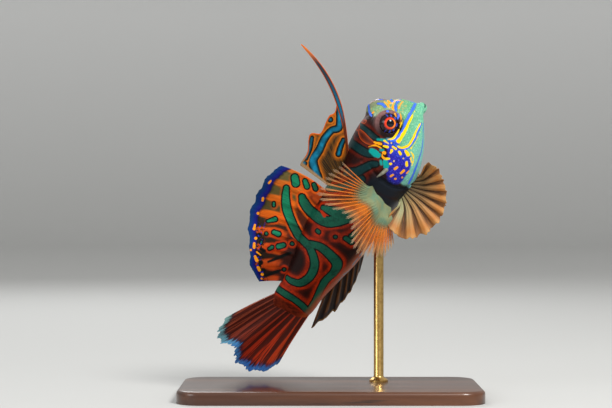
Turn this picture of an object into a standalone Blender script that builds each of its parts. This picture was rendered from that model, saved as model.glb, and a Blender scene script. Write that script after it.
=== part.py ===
"""A male mandarinfish as a still, life-size model, nose up on a small display stand.

Units are metres, +Z up. The origin is the middle of the base's underside. The fish's right side
faces -Y. A place on the body is a station (distance back from the snout along the spine), a height
above the spine and a reach to the fish's right. Each fin is a web between its rays, with the rays
raised in its own faces.
"""

import math
from functools import cache

import bmesh
import bpy
from mathutils import Matrix, Vector

MM = 0.001
GAP = 0.3 * MM

# The spine: a cubic curve from the snout back to the root of the tail fin.
BODY_LENGTH = 49.0 * MM
SNOUT = Vector((17.4, -8.0, 57.5)) * MM
TAIL_ROOT = Vector((-7.4, 7.5, 18.7)) * MM
HEAD_YAW = math.radians(21)
TAIL_YAW = math.radians(16)
ROLL = [(0, 26), (16, 25), (30, 21), (49, 17)]  # station in mm, lean in degrees

# Body sections: station, back above the spine, belly below it, half width, all in mm.
SECTIONS = (
    ("snout tip", 0.0, 1.6, 0.6, 1.7),
    ("upper lip fold", 1.2, 3.9, 1.4, 3.0),
    ("nostrils", 2.6, 5.7, 2.4, 4.2),
    ("eyes", 5.0, 7.6, 4.0, 5.6),
    ("cheeks", 8.4, 8.4, 5.75, 6.7),
    ("gill covers", 12.5, 8.2, 7.1, 7.1),
    ("nape", 17.5, 7.4, 7.1, 6.8),
    ("breast", 22.5, 7.2, 7.0, 6.2),
    ("belly", 29.0, 7.3, 7.0, 5.4),
    ("vent", 35.0, 6.6, 6.8, 4.4),
    ("hind back", 41.0, 5.2, 5.7, 3.4),
    ("tail stalk", 45.6, 4.5, 4.9, 2.5),
    ("tail root", 49.0, 4.4, 4.7, 1.9),
)
RING_SIDES = 32
HEAD_END = 15.8 * MM
TRUNK_END = 37.0 * MM
FIRST_RING = 0.4 * MM
RING_STEP = 1.7 * MM

EYE_RADIUS = 2.0 * MM
EYE_STATION = 4.8 * MM
EYE_HEIGHT = 5.5 * MM
EYE_REACH = 3.1 * MM
EYE_GAZE = (0.86, 0.45, 0.20)  # outward, forward, up
ORBIT_RADIUS = 2.75 * MM
ORBIT_RIM = 1.05 * MM

ROD_RADIUS = 1.0 * MM
ROD_STATION = 25.5 * MM
ROD_REACH = -1.8 * MM
BASE_SIZE = Vector((60.0, 30.0, 2.6)) * MM
BASE_CORNER = 5.0 * MM
BASE_CHAMFER = 0.5 * MM
SOCKET_DEPTH = 1.6 * MM

WEB = 0.26 * MM  # half the thickness of a fin's web
RAY = 0.42 * MM  # half the thickness at a ray
TIP = 0.14 * MM  # half the thickness at the margin

COLOURS = {
    "skin": (0.42, 0.08, 0.03, 0.45, 0.0),
    "fin": (0.80, 0.22, 0.03, 0.45, 0.0),
    "eye": (0.55, 0.05, 0.02, 0.12, 0.0),
    "wood": (0.07, 0.04, 0.025, 0.40, 0.0),
    "brass": (0.80, 0.58, 0.25, 0.28, 1.0),
}


def along(keys, x):
    """The value at x of a smooth curve through keys, pairs of (x, value)."""
    if x <= keys[0][0]:
        return keys[0][1]
    if x >= keys[-1][0]:
        return keys[-1][1]
    slopes = [(b[1] - a[1]) / (b[0] - a[0]) for a, b in zip(keys, keys[1:])]
    i = next(n for n, key in enumerate(keys[1:]) if x <= key[0])
    start = slopes[i] if i == 0 else (slopes[i - 1] + slopes[i]) / 2
    end = slopes[i] if i == len(slopes) - 1 else (slopes[i] + slopes[i + 1]) / 2
    width = keys[i + 1][0] - keys[i][0]
    t = (x - keys[i][0]) / width
    return (
        keys[i][1] * (1 + 2 * t) * (1 - t) ** 2
        + keys[i + 1][1] * t * t * (3 - 2 * t)
        + start * width * t * (1 - t) ** 2
        - end * width * t * t * (1 - t)
    )


BACK = [(station * MM, back * MM) for _, station, back, _, _ in SECTIONS]
BELLY = [(station * MM, belly * MM) for _, station, _, belly, _ in SECTIONS]
WIDTH = [(station * MM, width * MM) for _, station, _, _, width in SECTIONS]


@cache
def spine_points():
    """The four control points of the spine's curve, from the two ends and the yaw at each."""
    run = SNOUT - TAIL_ROOT
    pitch = math.atan2(run.z, run.x)

    def forward(yaw):
        return Vector(
            (
                math.cos(yaw) * math.cos(pitch),
                -math.sin(yaw),
                math.cos(yaw) * math.sin(pitch),
            )
        )

    third = BODY_LENGTH / 3
    return (
        SNOUT,
        SNOUT - third * forward(HEAD_YAW),
        TAIL_ROOT + third * forward(TAIL_YAW),
        TAIL_ROOT,
    )


@cache
def frame_at(station):
    """The spine's point at a station, with the directions back, up and to the fish's right there."""
    a, b, c, d = spine_points()
    t = min(max(station / BODY_LENGTH, 0.0), 1.0)
    point = a * (1 - t) ** 3 + 3 * b * t * (1 - t) ** 2 + 3 * c * t * t * (1 - t) + d * t**3
    back = ((b - a) * (1 - t) ** 2 + 2 * (c - b) * t * (1 - t) + (d - c) * t * t).normalized()
    point += back * (station - t * BODY_LENGTH)
    up = Vector((back.z, 0.0, -back.x)).normalized()
    right = up.cross(back)
    roll = math.radians(along(ROLL, station / MM))
    return (
        point,
        back,
        up * math.cos(roll) + right * math.sin(roll),
        right * math.cos(roll) - up * math.sin(roll),
    )


def place(station, height=0.0, reach=0.0):
    """A point from its station, its height above the spine and its reach to the fish's right."""
    point, _, up, right = frame_at(station)
    return point + up * height + right * reach


def outline(station, turn, swell=0.0):
    """Height and reach of the body's surface, turned from the back's midline towards the right."""
    half_width = along(WIDTH, station) + swell
    side = along(BACK, station) if math.cos(turn) > 0 else along(BELLY, station)
    return (side + swell) * math.cos(turn), half_width * math.sin(turn)


def surface_height(station, reach, top):
    """Height of the body's surface over a reach, on its top or its underside."""
    share = min(abs(reach) / along(WIDTH, station), 0.98)
    side = along(BACK, station) if top else -along(BELLY, station)
    return side * math.sqrt(1 - share * share)


def new_object(name, mesh):
    """Puts a mesh into the scene as an object."""
    obj = bpy.data.objects.new(name, mesh)
    bpy.context.scene.collection.objects.link(obj)
    return obj


def from_bmesh(name, bm):
    """Makes an object of a bmesh, all triangles, with its faces pointing out."""
    bmesh.ops.triangulate(bm, faces=bm.faces)
    bmesh.ops.recalc_face_normals(bm, faces=bm.faces)
    mesh = bpy.data.meshes.new(name)
    bm.to_mesh(mesh)
    bm.free()
    return new_object(name, mesh)


def loft(name, rings):
    """A closed solid through rings of points, with flat ends."""
    bm = bmesh.new()
    loops = [[bm.verts.new(point) for point in ring] for ring in rings]
    for low, high in zip(loops, loops[1:]):
        for i in range(len(low)):
            j = (i + 1) % len(low)
            bm.faces.new((low[i], low[j], high[j], high[i]))
    bm.faces.new(loops[0][::-1])
    bm.faces.new(loops[-1])
    return from_bmesh(name, bm)


def body_length(name, start, end, swell=0.0):
    """The body from one station to another, swollen on all sides by swell."""
    steps = max(2, round((end - start) / RING_STEP))
    stations = [start + (end - start) * i / steps for i in range(steps + 1)]
    if start <= 0:
        stations.insert(1, FIRST_RING)
    turns = [math.tau * i / RING_SIDES for i in range(RING_SIDES)]
    rings = [
        [place(s, *outline(s, turn, swell)) for turn in turns] for s in stations
    ]
    return loft(name, rings)


def ball(name, centre, radii, axes=None, segments=16):
    """An ellipsoid with a radius along each of three axes."""
    bm = bmesh.new()
    bmesh.ops.create_uvsphere(bm, u_segments=segments, v_segments=segments * 2 // 3, radius=1.0)
    turn = Matrix(axes).transposed().to_4x4() if axes else Matrix.Identity(4)
    bm.transform(Matrix.Translation(centre) @ turn @ Matrix.Diagonal((*radii, 1.0)))
    return from_bmesh(name, bm)


def tube(name, points, radii, sides=10, flat=1.0, across=None):
    """A tapered rod through points. flat thins it in the direction square to across."""
    rings = []
    for i, point in enumerate(points):
        ahead = (points[min(i + 1, len(points) - 1)] - points[max(i - 1, 0)]).normalized()
        side = (across or ahead.orthogonal()).copy()
        side = (side - ahead * side.dot(ahead)).normalized()
        other = ahead.cross(side)
        rings.append(
            [
                point
                + side * radii[i] * math.cos(math.tau * k / sides)
                + other * radii[i] * flat * math.sin(math.tau * k / sides)
                for k in range(sides)
            ]
        )
    return loft(name, rings)


def bake(obj):
    """Replaces an object's mesh by what its modifiers make of it."""
    graph = bpy.context.evaluated_depsgraph_get()
    mesh = bpy.data.meshes.new_from_object(obj.evaluated_get(graph))
    obj.modifiers.clear()
    obj.data = mesh


def largest_only(obj):
    """Keeps an object's largest closed surface and drops the rest."""
    bm = bmesh.new()
    bm.from_mesh(obj.data)
    groups = []
    left = set(bm.verts)
    while left:
        edge_of = [left.pop()]
        group = set(edge_of)
        while edge_of:
            for edge in edge_of.pop().link_edges:
                for vert in edge.verts:
                    if vert in left:
                        left.discard(vert)
                        group.add(vert)
                        edge_of.append(vert)
        groups.append(group)
    keep = max(groups, key=len)
    bmesh.ops.delete(bm, geom=[v for v in bm.verts if v not in keep], context="VERTS")
    bm.to_mesh(obj.data)
    bm.free()


def combine(obj, others, operation, solver="EXACT"):
    """Joins closed objects to an object, or cuts them out of it, and removes them."""
    pieces = bpy.data.collections.new("pieces")
    bpy.context.scene.collection.children.link(pieces)
    for other in others:
        bpy.context.scene.collection.objects.unlink(other)
        pieces.objects.link(other)
    modifier = obj.modifiers.new(operation, "BOOLEAN")
    modifier.operation = operation
    modifier.operand_type = "COLLECTION"
    modifier.collection = pieces
    modifier.solver = solver
    bake(obj)
    for other in others:
        bpy.data.objects.remove(other)
    bpy.data.collections.remove(pieces)
    largest_only(obj)


def web_solid(name, columns, rows, ray_count, middle, thickness):
    """A fin: a web between rays, its two faces split into triangles alike.

    middle(u, v) is the web's middle, u across the rays and v from root to margin. A column lies on
    each ray, and thickness(u, v, on_ray) is half the fin's thickness there.
    """
    step = 1e-3
    bm = bmesh.new()
    faces = ([], [])
    for i in range(columns):
        u = i / (columns - 1)
        on_ray = 0.5 + 0.5 * math.cos(math.tau * u * (ray_count - 1))
        for j in range(rows):
            v = j / (rows - 1)
            across = middle(min(u + step, 1), v) - middle(max(u - step, 0), v)
            outward = middle(u, min(v + step, 1)) - middle(u, max(v - step, 0))
            normal = across.cross(outward).normalized()
            point, half = middle(u, v), thickness(u, v, on_ray)
            faces[0].append(bm.verts.new(point + normal * half))
            faces[1].append(bm.verts.new(point - normal * half))

    def at(side, i, j):
        return faces[side][i * rows + j]

    for i in range(columns - 1):
        for j in range(rows - 1):
            for side in (0, 1):
                a, b = at(side, i, j), at(side, i + 1, j)
                c, d = at(side, i + 1, j + 1), at(side, i, j + 1)
                bm.faces.new((a, b, c))
                bm.faces.new((a, c, d))
    border = (
        [(i, 0) for i in range(columns)]
        + [(columns - 1, j) for j in range(1, rows)]
        + [(i, rows - 1) for i in reversed(range(columns - 1))]
        + [(0, j) for j in reversed(range(1, rows - 1))]
    )
    for here, there in zip(border, border[1:] + border[:1]):
        a, b, c, d = at(0, *here), at(0, *there), at(1, *there), at(1, *here)
        bm.faces.new((a, b, c))
        bm.faces.new((a, c, d))
    return from_bmesh(name, bm)


def fin_thickness(u, v, on_ray):
    """Half a fin's thickness: a stout root, rays prouder than the web, and a thin margin."""
    body = WEB + (RAY - WEB) * on_ray
    return TIP + (body - TIP) * min(1.0, 2.2 * (1 - v))


def scalloped(length, on_ray, depth):
    """A ray's reach at the margin, which draws in between the rays."""
    return length * (1 - depth * (1 - on_ray))


def ray_phase(u, ray_count):
    """1 on a ray and 0 half way between two rays."""
    return 0.5 + 0.5 * math.cos(math.tau * u * (ray_count - 1))


# The second dorsal fin: 8 soft rays that lean back more and more.
SOFT_DORSAL_RAYS = 8
SOFT_DORSAL_ROOT = (24.6 * MM, 45.6 * MM)
SOFT_DORSAL_LEAN = [(0, -6), (0.3, 4), (0.5, 12), (0.8, 17), (1, 32)]
SOFT_DORSAL_LENGTH = [(0, 11.9), (0.14, 12.4), (0.3, 11.9), (0.5, 11.1), (0.7, 9.6), (0.86, 8.0), (1, 4.7)]
SOFT_DORSAL_CURVE = 12


def soft_dorsal_middle(u, v):
    """The second dorsal fin's web, with a shallow wave towards its margin."""
    station = SOFT_DORSAL_ROOT[0] + (SOFT_DORSAL_ROOT[1] - SOFT_DORSAL_ROOT[0]) * u
    point, back, up, right = frame_at(station)
    lean = math.radians(along(SOFT_DORSAL_LEAN, u) - SOFT_DORSAL_CURVE * (1 - v))
    sink = 1.0 * MM
    reach = scalloped(along(SOFT_DORSAL_LENGTH, u), ray_phase(u, SOFT_DORSAL_RAYS), 0.05) * MM
    wave = 0.9 * MM * v * v * math.sin(math.tau * (1.5 * u + 0.1))
    root = point + up * (along(BACK, station) - sink)
    direction = up * math.cos(lean) + back * math.sin(lean)
    return root + direction * (reach + sink) * v + right * wave


# The first dorsal fin: 4 spines, the first drawn out into a long blade that sweeps forward.
SPINE_COUNT = 4
SPINY_DORSAL_ROOT = (16.6 * MM, 23.2 * MM)
SPINE_PATH = (  # back from the root, up from the body's surface
    Vector((0.4, -1.0)) * MM,
    Vector((-5.2, 2.8)) * MM,
    Vector((-13.8, 8.6)) * MM,
    Vector((-17.8, 21.2)) * MM,
)
SPINE_WIDTHS = [(0, 0.55), (0.5, 0.55), (0.8, 0.42), (1, 0.16)]
SPINE_WEBBED = 0.6  # how far up the long spine its web reaches
SPINY_LEAN = [(0.1, -51), (0.33, -45), (0.5, -36), (0.67, -30), (1, -9)]
SPINY_LENGTH = [(0.1, 14.3), (0.22, 12.3), (0.33, 12.0), (0.5, 10.4), (0.67, 10.9), (0.8, 9.0), (1, 7.5)]


def spine_curve(t):
    """A point of the long first spine, from its root at 0 to its tip at 1."""
    a, b, c, d = SPINE_PATH
    path = a * (1 - t) ** 3 + 3 * b * t * (1 - t) ** 2 + 3 * c * t * t * (1 - t) + d * t**3
    point, back, up, right = frame_at(SPINY_DORSAL_ROOT[0])
    bend = 1.2 * MM * t * t
    return point + up * (along(BACK, SPINY_DORSAL_ROOT[0]) + path.y) + back * path.x + right * bend


def spiny_dorsal_middle(u, v):
    """The first dorsal fin's web, which hangs from the long spine in front."""
    station = SPINY_DORSAL_ROOT[0] + (SPINY_DORSAL_ROOT[1] - SPINY_DORSAL_ROOT[0]) * u
    point, back, up, right = frame_at(station)
    lean = math.radians(along(SPINY_LEAN, u))
    sink = 1.0 * MM
    reach = scalloped(along(SPINY_LENGTH, u), ray_phase(u, SPINE_COUNT), 0.06) * MM
    wave = 0.5 * MM * v * math.sin(math.tau * 0.8 * u)
    root = point + up * (along(BACK, station) - sink)
    direction = up * math.cos(lean) + back * math.sin(lean)
    straight = root + direction * (reach + sink) * v + right * wave
    share = max(0.0, 1 - u / 0.3) ** 2
    return straight.lerp(spine_curve(SPINE_WEBBED * v), share)


# The tail fin: 10 rays on a curved root, flaring upwards, with the lower lobe the longer.
TAIL_RAYS = 10
TAIL_FLARE = [(0, 36), (0.25, 28), (0.5, 22), (0.67, 16), (0.85, 5), (1, 1)]
TAIL_LENGTH = [(0, 11.0), (0.11, 13.9), (0.3, 16.4), (0.45, 15.5), (0.67, 18.2), (0.8, 17.6), (0.9, 16),
               (1, 13.2)]


def tail_middle(u, v):
    """The tail fin's web, cupped a little towards the fish's right."""
    point, back, up, right = frame_at(BODY_LENGTH)
    height = along(BACK, BODY_LENGTH) * 0.93 + u * -(
        along(BACK, BODY_LENGTH) + along(BELLY, BODY_LENGTH)
    ) * 0.93
    flare = math.radians(along(TAIL_FLARE, u))
    reach = scalloped(along(TAIL_LENGTH, u), ray_phase(u, TAIL_RAYS), 0.07) * MM
    cup = 1.6 * MM * v * v + 0.35 * MM * v * math.sin(math.tau * 2.5 * u)
    root = point + up * height + back * GAP
    return root + (back * math.cos(flare) + up * math.sin(flare)) * reach * v + right * cup


# The anal fin: 7 rays folded back against the belly.
ANAL_RAYS = 7
ANAL_ROOT = (30.5 * MM, 42.5 * MM)
ANAL_LEAN = [(0, 70), (0.67, 68), (0.83, 74), (1, 81)]
ANAL_LENGTH = [(0, 7.4), (0.33, 8.7), (0.67, 10.0), (1, 11.1)]
ANAL_SWING = -2.0 * MM


def anal_middle(u, v):
    """The anal fin's web, which lies back along the belly's midline."""
    station = ANAL_ROOT[0] + (ANAL_ROOT[1] - ANAL_ROOT[0]) * u
    point, back, up, right = frame_at(station)
    lean = math.radians(along(ANAL_LEAN, u))
    sink = 0.9 * MM
    reach = scalloped(along(ANAL_LENGTH, u), ray_phase(u, ANAL_RAYS), 0.06) * MM
    root = point - up * (along(BELLY, station) - sink)
    direction = back * math.sin(lean) - up * math.cos(lean)
    swing = ANAL_SWING * v + 0.4 * MM * v * math.sin(math.tau * 1.2 * u)
    return root + direction * reach * v - up * sink * v + right * swing


# The pectoral fins: 28 fine rays in a cupped fan. Each side has its own sweep and flare by ray.
PECTORAL_RAYS = 28
PECTORAL_ROOT = ((17.6, 2.2), (20.2, -3.8))  # station and height of the first and last ray, mm
PECTORAL_POSE = {
    1: {
        "sweep": [(0, 112), (0.13, 94), (0.31, 74), (0.4, 76), (0.5, 63), (0.65, 13), (0.79, -12), (1, -36)],
        "flare": [(0, 19), (0.3, 20), (0.4, 40), (0.54, 46), (0.66, 25), (0.8, 20), (1, 22)],
        "length": [(0, 12.5), (0.2, 14.0), (0.32, 14.6), (0.42, 13.2), (0.6, 11.6), (0.86, 10.2), (1, 7.2)],
    },
    -1: {
        "sweep": [(0, 38), (0.4, 8), (0.7, -18), (1, -50)],
        "flare": [(0, 42), (0.5, 52), (1, 58)],
        "length": [(0, 11.5), (0.3, 13.4), (0.7, 12.4), (1, 8.2)],
    },
}


def pectoral_middle(side, u, v):
    """A pectoral fin's web on one side, 1 for the right and -1 for the left."""
    pose = PECTORAL_POSE[side]
    (s0, h0), (s1, h1) = PECTORAL_ROOT
    station, height = (s0 + (s1 - s0) * u) * MM, (h0 + (h1 - h0) * u) * MM
    point, back, up, right = frame_at(station)
    side_height = along(BACK, station) if height > 0 else along(BELLY, station)
    reach = along(WIDTH, station) * math.sqrt(1 - (height / side_height) ** 2) - 0.9 * MM
    sweep = math.radians(along(pose["sweep"], u))
    flare = math.radians(along(pose["flare"], u))
    outward = right * side
    direction = (back * math.cos(sweep) + up * math.sin(sweep)) * math.cos(flare)
    direction += outward * math.sin(flare)
    root = point + up * height + outward * reach
    length = scalloped(along(pose["length"], u), ray_phase(u, PECTORAL_RAYS), 0.05) * MM
    stalk = outward * 1.7 * MM * min(1.0, v / 0.2)
    return root + stalk + direction * length * v


def pectoral_thickness(u, v, on_ray):
    """Half a pectoral fin's thickness, with a fleshy lobe at its root."""
    lobe = 0.5 * MM * max(0.0, 1 - v / 0.22)
    return fin_thickness(u, v, on_ray) + lobe


# The pelvic fins: 5 branched rays each, set under the throat, their webs pleated.
PELVIC_PLEATS = 11
PELVIC_ROOT = ((13.2, 3.3), (18.4, 4.6))  # station and reach of the first and last ray, mm
PELVIC_POSE = {
    1: {
        "sweep": [(0, -178), (0.22, -150), (0.44, -107), (0.67, -66), (0.86, -22), (1, 26)],
        "flare": [(0, 18), (0.22, 34), (0.5, 41), (0.8, 45), (1, 58)],
        "length": [(0, 6.8), (0.22, 7.3), (0.5, 8.7), (0.78, 9.1), (1, 7.8)],
    },
    -1: {
        "sweep": [(0, -112), (0.5, -80), (1, -44)],
        "flare": [(0, 30), (0.5, 32), (1, 30)],
        "length": [(0, 6.8), (0.22, 7.6), (0.5, 8.6), (0.78, 8.6), (1, 7.6)],
    },
}
PLEAT_DEPTH = 0.55 * MM


def pelvic_middle(side, u, v):
    """A pelvic fin's web on one side, 1 for the right and -1 for the left."""
    pose = PELVIC_POSE[side]
    (s0, r0), (s1, r1) = PELVIC_ROOT
    station, reach = (s0 + (s1 - s0) * u) * MM, (r0 + (r1 - r0) * u) * MM
    point, back, up, right = frame_at(station)
    outward = right * side
    height = surface_height(station, reach, top=False) + 0.8 * MM
    sweep = math.radians(along(pose["sweep"], u))
    flare = math.radians(along(pose["flare"], u))
    in_plane = back * math.cos(sweep) + up * math.sin(sweep)
    direction = in_plane * math.cos(flare) + outward * math.sin(flare)
    pleat = math.cos(math.tau * u * (PELVIC_PLEATS - 1)) * PLEAT_DEPTH * v ** 1.3
    lift = outward * math.cos(flare) - in_plane * math.sin(flare)
    root = point + up * height + outward * reach
    drop = -up * 1.4 * MM * min(1.0, v / 0.2)
    length = scalloped(along(pose["length"], u), ray_phase(u, PELVIC_PLEATS), 0.06) * MM
    return root + drop + direction * length * v + lift * pleat


def make_head():
    """The head, with brows round the eyes, lips, nostrils, gill pores and cheek spines."""
    head = body_length("head", 0.0, HEAD_END)
    front, back, up, right = frame_at(0.0)
    axes = (right, back, up)
    joined = [
        ball("forehead", place(3.2 * MM, 2.2 * MM), (3.8 * MM, 3.2 * MM, 3.4 * MM), axes),
        ball("lips", place(0.1 * MM, -0.4 * MM), (1.15 * MM, 1.2 * MM, 1.1 * MM), axes),
    ]
    cuts = []
    for side in (1, -1):
        centre, gaze = eye_place(side)
        joined.append(ball("brow", centre, (ORBIT_RADIUS,) * 3, segments=20))
        cuts.append(ball("socket", centre, (EYE_RADIUS + GAP,) * 3, segments=18))
        window = [centre + gaze * ORBIT_RIM, centre + gaze * 2.2 * ORBIT_RADIUS]
        cuts.append(tube("window", window, (ORBIT_RADIUS * 1.05,) * 2, sides=20))
        joined.append(nostril(side))
        joined.append(cheek_spine(side))
        cuts.append(gill_pore(side))
    slit = ball("mouth_line", place(-1.1 * MM, -0.45 * MM), (1.4 * MM, 0.7 * MM, 0.16 * MM), axes)
    combine(head, joined, "UNION", solver="MANIFOLD")
    combine(head, cuts + [slit], "DIFFERENCE", solver="MANIFOLD")
    return head


def eye_place(side):
    """The centre of an eye and the way it looks, 1 for the right eye and -1 for the left."""
    _, back, up, right = frame_at(EYE_STATION)
    outward, forward, lift = EYE_GAZE
    gaze = (right * side * outward - back * forward + up * lift).normalized()
    return place(EYE_STATION, EYE_HEIGHT, EYE_REACH * side), gaze


def nostril(side):
    """A short nostril tube in front of an eye."""
    station, reach = 2.4 * MM, 2.0 * MM * side
    height = surface_height(station, reach, top=True)
    foot = place(station, height - 0.5 * MM, reach)
    tip = place(station - 0.5 * MM, height + 0.55 * MM, reach * 1.08)
    return tube("nostril", [foot, tip], (0.36 * MM, 0.28 * MM), sides=8)


def cheek_spine(side):
    """The bony spine at the hind corner of a cheek, which points back clear of the flank."""
    points = [
        place(station * MM, height * MM, reach * side * MM)
        for station, height, reach in ((11.2, 0.9, 5.3), (12.9, 2.6, 7.3), (14.3, 3.4, 7.7))
    ]
    return tube("cheek_spine", points, (0.8 * MM, 0.6 * MM, 0.16 * MM), sides=8)


def gill_pore(side):
    """The small round gill opening high behind an eye."""
    station, reach = 13.6 * MM, 4.3 * MM * side
    centre = place(station, surface_height(station, reach, top=True), reach)
    return ball("gill_pore", centre, (0.55 * MM,) * 3, segments=10)


def make_eye(side):
    """An eyeball with a bulging cornea."""
    centre, gaze = eye_place(side)
    eye = ball("eye_right" if side > 0 else "eye_left", centre, (EYE_RADIUS,) * 3, segments=18)
    cornea = ball("cornea", centre + gaze * 0.55 * MM, (1.62 * MM,) * 3, segments=16)
    combine(eye, [cornea], "UNION")
    return eye


def make_spiny_dorsal():
    """The first dorsal fin with its long blade."""
    fin = web_solid("dorsal_fin_first", 13, 7, SPINE_COUNT, spiny_dorsal_middle, fin_thickness)
    steps = 22
    points = [spine_curve(i / steps) for i in range(steps + 1)]
    widths = [along(SPINE_WIDTHS, i / steps) * MM for i in range(steps + 1)]
    _, back, _, _ = frame_at(SPINY_DORSAL_ROOT[0])
    blade = tube("blade", points, widths, sides=8, flat=0.6, across=back)
    combine(fin, [blade], "UNION", solver="MANIFOLD")
    return fin


def make_fins():
    """Every fin, each cut back to stand just clear of the body."""
    fins = [
        make_spiny_dorsal(),
        web_solid("dorsal_fin_second", 29, 7, SOFT_DORSAL_RAYS, soft_dorsal_middle, fin_thickness),
        web_solid("anal_fin", 19, 5, ANAL_RAYS, anal_middle, fin_thickness),
    ]
    for side, name in ((1, "right"), (-1, "left")):
        fins.append(
            web_solid(
                f"pectoral_fin_{name}",
                2 * PECTORAL_RAYS - 1,
                7,
                PECTORAL_RAYS,
                lambda u, v, side=side: pectoral_middle(side, u, v),
                pectoral_thickness,
            )
        )
        fins.append(
            web_solid(
                f"pelvic_fin_{name}",
                4 * (PELVIC_PLEATS - 1) + 1,
                7,
                PELVIC_PLEATS,
                lambda u, v, side=side: pelvic_middle(side, u, v),
                fin_thickness,
            )
        )
    for fin in fins:
        clearance = body_length("clearance", 0.0, BODY_LENGTH, swell=GAP)
        combine(fin, [clearance], "DIFFERENCE", solver="MANIFOLD")
    fins.append(web_solid("caudal_fin", 2 * TAIL_RAYS + 9, 7, TAIL_RAYS, tail_middle, fin_thickness))
    return fins


def make_stand():
    """A flat wooden base with a brass rod up to the far side of the belly."""
    bm = bmesh.new()
    bmesh.ops.create_cube(bm, size=1.0)
    bmesh.ops.scale(bm, vec=BASE_SIZE, verts=bm.verts)
    bmesh.ops.translate(bm, vec=(0, 0, BASE_SIZE.z / 2), verts=bm.verts)
    upright = [e for e in bm.edges if abs((e.verts[0].co - e.verts[1].co).z) > BASE_SIZE.z / 2]
    bmesh.ops.bevel(
        bm, geom=upright, offset=BASE_CORNER, segments=6, affect="EDGES", profile=0.5, material=-1
    )
    rim = [e for e in bm.edges if min(v.co.z for v in e.verts) > BASE_SIZE.z * 0.99]
    bmesh.ops.bevel(
        bm, geom=rim, offset=BASE_CHAMFER, segments=2, affect="EDGES", profile=0.5, material=-1
    )
    base = from_bmesh("stand_base", bm)
    height = surface_height(ROD_STATION, ROD_REACH, top=False)
    head = place(ROD_STATION, height, ROD_REACH)
    foot = Vector((head.x, head.y, BASE_SIZE.z - SOCKET_DEPTH))
    rod = tube("stand_rod", [foot, head + Vector((0, 0, 2.5 * MM))], (ROD_RADIUS,) * 2, sides=20)
    combine(rod, [body_length("clearance", 0.0, BODY_LENGTH, swell=GAP)], "DIFFERENCE")
    hole = [foot - Vector((0, 0, GAP)), foot + Vector((0, 0, 2 * SOCKET_DEPTH))]
    combine(base, [tube("hole", hole, (ROD_RADIUS + GAP,) * 2, sides=20)], "DIFFERENCE")
    return base, rod


def finish_object(obj, kind):
    """Gives an object its colour and shades its round faces smooth."""
    material = bpy.data.materials.get(kind)
    if material is None:
        red, green, blue, roughness, metallic = COLOURS[kind]
        material = bpy.data.materials.new(kind)
        material.use_nodes = True
        shader = material.node_tree.nodes["Principled BSDF"]
        shader.inputs["Base Color"].default_value = (red, green, blue, 1)
        shader.inputs["Roughness"].default_value = roughness
        shader.inputs["Metallic"].default_value = metallic
    obj.data.materials.clear()
    obj.data.materials.append(material)
    obj.data.shade_smooth()
    obj.data.set_sharp_from_angle(angle=math.radians(40))


def main():
    """Builds the fish and its stand."""
    for obj in list(bpy.data.objects):
        bpy.data.objects.remove(obj)
    finish_object(make_head(), "skin")
    finish_object(body_length("trunk", HEAD_END + GAP, TRUNK_END), "skin")
    finish_object(body_length("tail", TRUNK_END + GAP, BODY_LENGTH - 0.05 * MM), "skin")
    for side in (1, -1):
        finish_object(make_eye(side), "eye")
    for fin in make_fins():
        finish_object(fin, "fin")
    base, rod = make_stand()
    finish_object(base, "wood")
    finish_object(rod, "brass")


main()
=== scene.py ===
"""The looks of a life-size mandarinfish: its skin and markings, its eyes, its fins and its stand.

Lengths are in millimetres until a mesh is finished, and its object is in metres. A place on the body is
a station (distance back from the snout along the spine), a height above the spine and a reach to the
fish's right. A marking is a line or a spot given by pixels of the photo as x, y and half width. It is laid
on the right flank from the photo's camera and mirrored to the left one. A colour is three screen values,
0 to 255, or a grey given as a share of 1.
"""

import math

import bmesh
import bpy
import numpy as np
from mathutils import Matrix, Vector
from mathutils.bvhtree import BVHTree
from mathutils.kdtree import KDTree


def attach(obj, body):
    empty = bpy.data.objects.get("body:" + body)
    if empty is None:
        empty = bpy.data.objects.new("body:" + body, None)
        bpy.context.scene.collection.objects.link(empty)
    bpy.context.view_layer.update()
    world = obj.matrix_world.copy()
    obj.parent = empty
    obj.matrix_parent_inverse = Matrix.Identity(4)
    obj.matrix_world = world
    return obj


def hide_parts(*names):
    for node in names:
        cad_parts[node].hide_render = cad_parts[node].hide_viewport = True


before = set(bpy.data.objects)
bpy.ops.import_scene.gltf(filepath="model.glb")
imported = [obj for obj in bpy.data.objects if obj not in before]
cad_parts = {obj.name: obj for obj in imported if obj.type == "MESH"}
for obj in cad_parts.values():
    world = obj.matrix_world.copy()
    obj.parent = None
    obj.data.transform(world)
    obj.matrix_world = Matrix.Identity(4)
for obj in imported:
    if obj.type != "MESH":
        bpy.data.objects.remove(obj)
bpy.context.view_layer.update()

MM = 0.001

# The photo's camera, level and looking along +Y.
CAMERA_AT = np.array((-4.8, -340.0, 38.6))
LENS = 100.0
SENSOR = 36.0
PHOTO_SIZE = (612, 408)
FOCUS = PHOTO_SIZE[0] * LENS / SENSOR
PIXELS_PER_MM = 5.0

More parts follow.
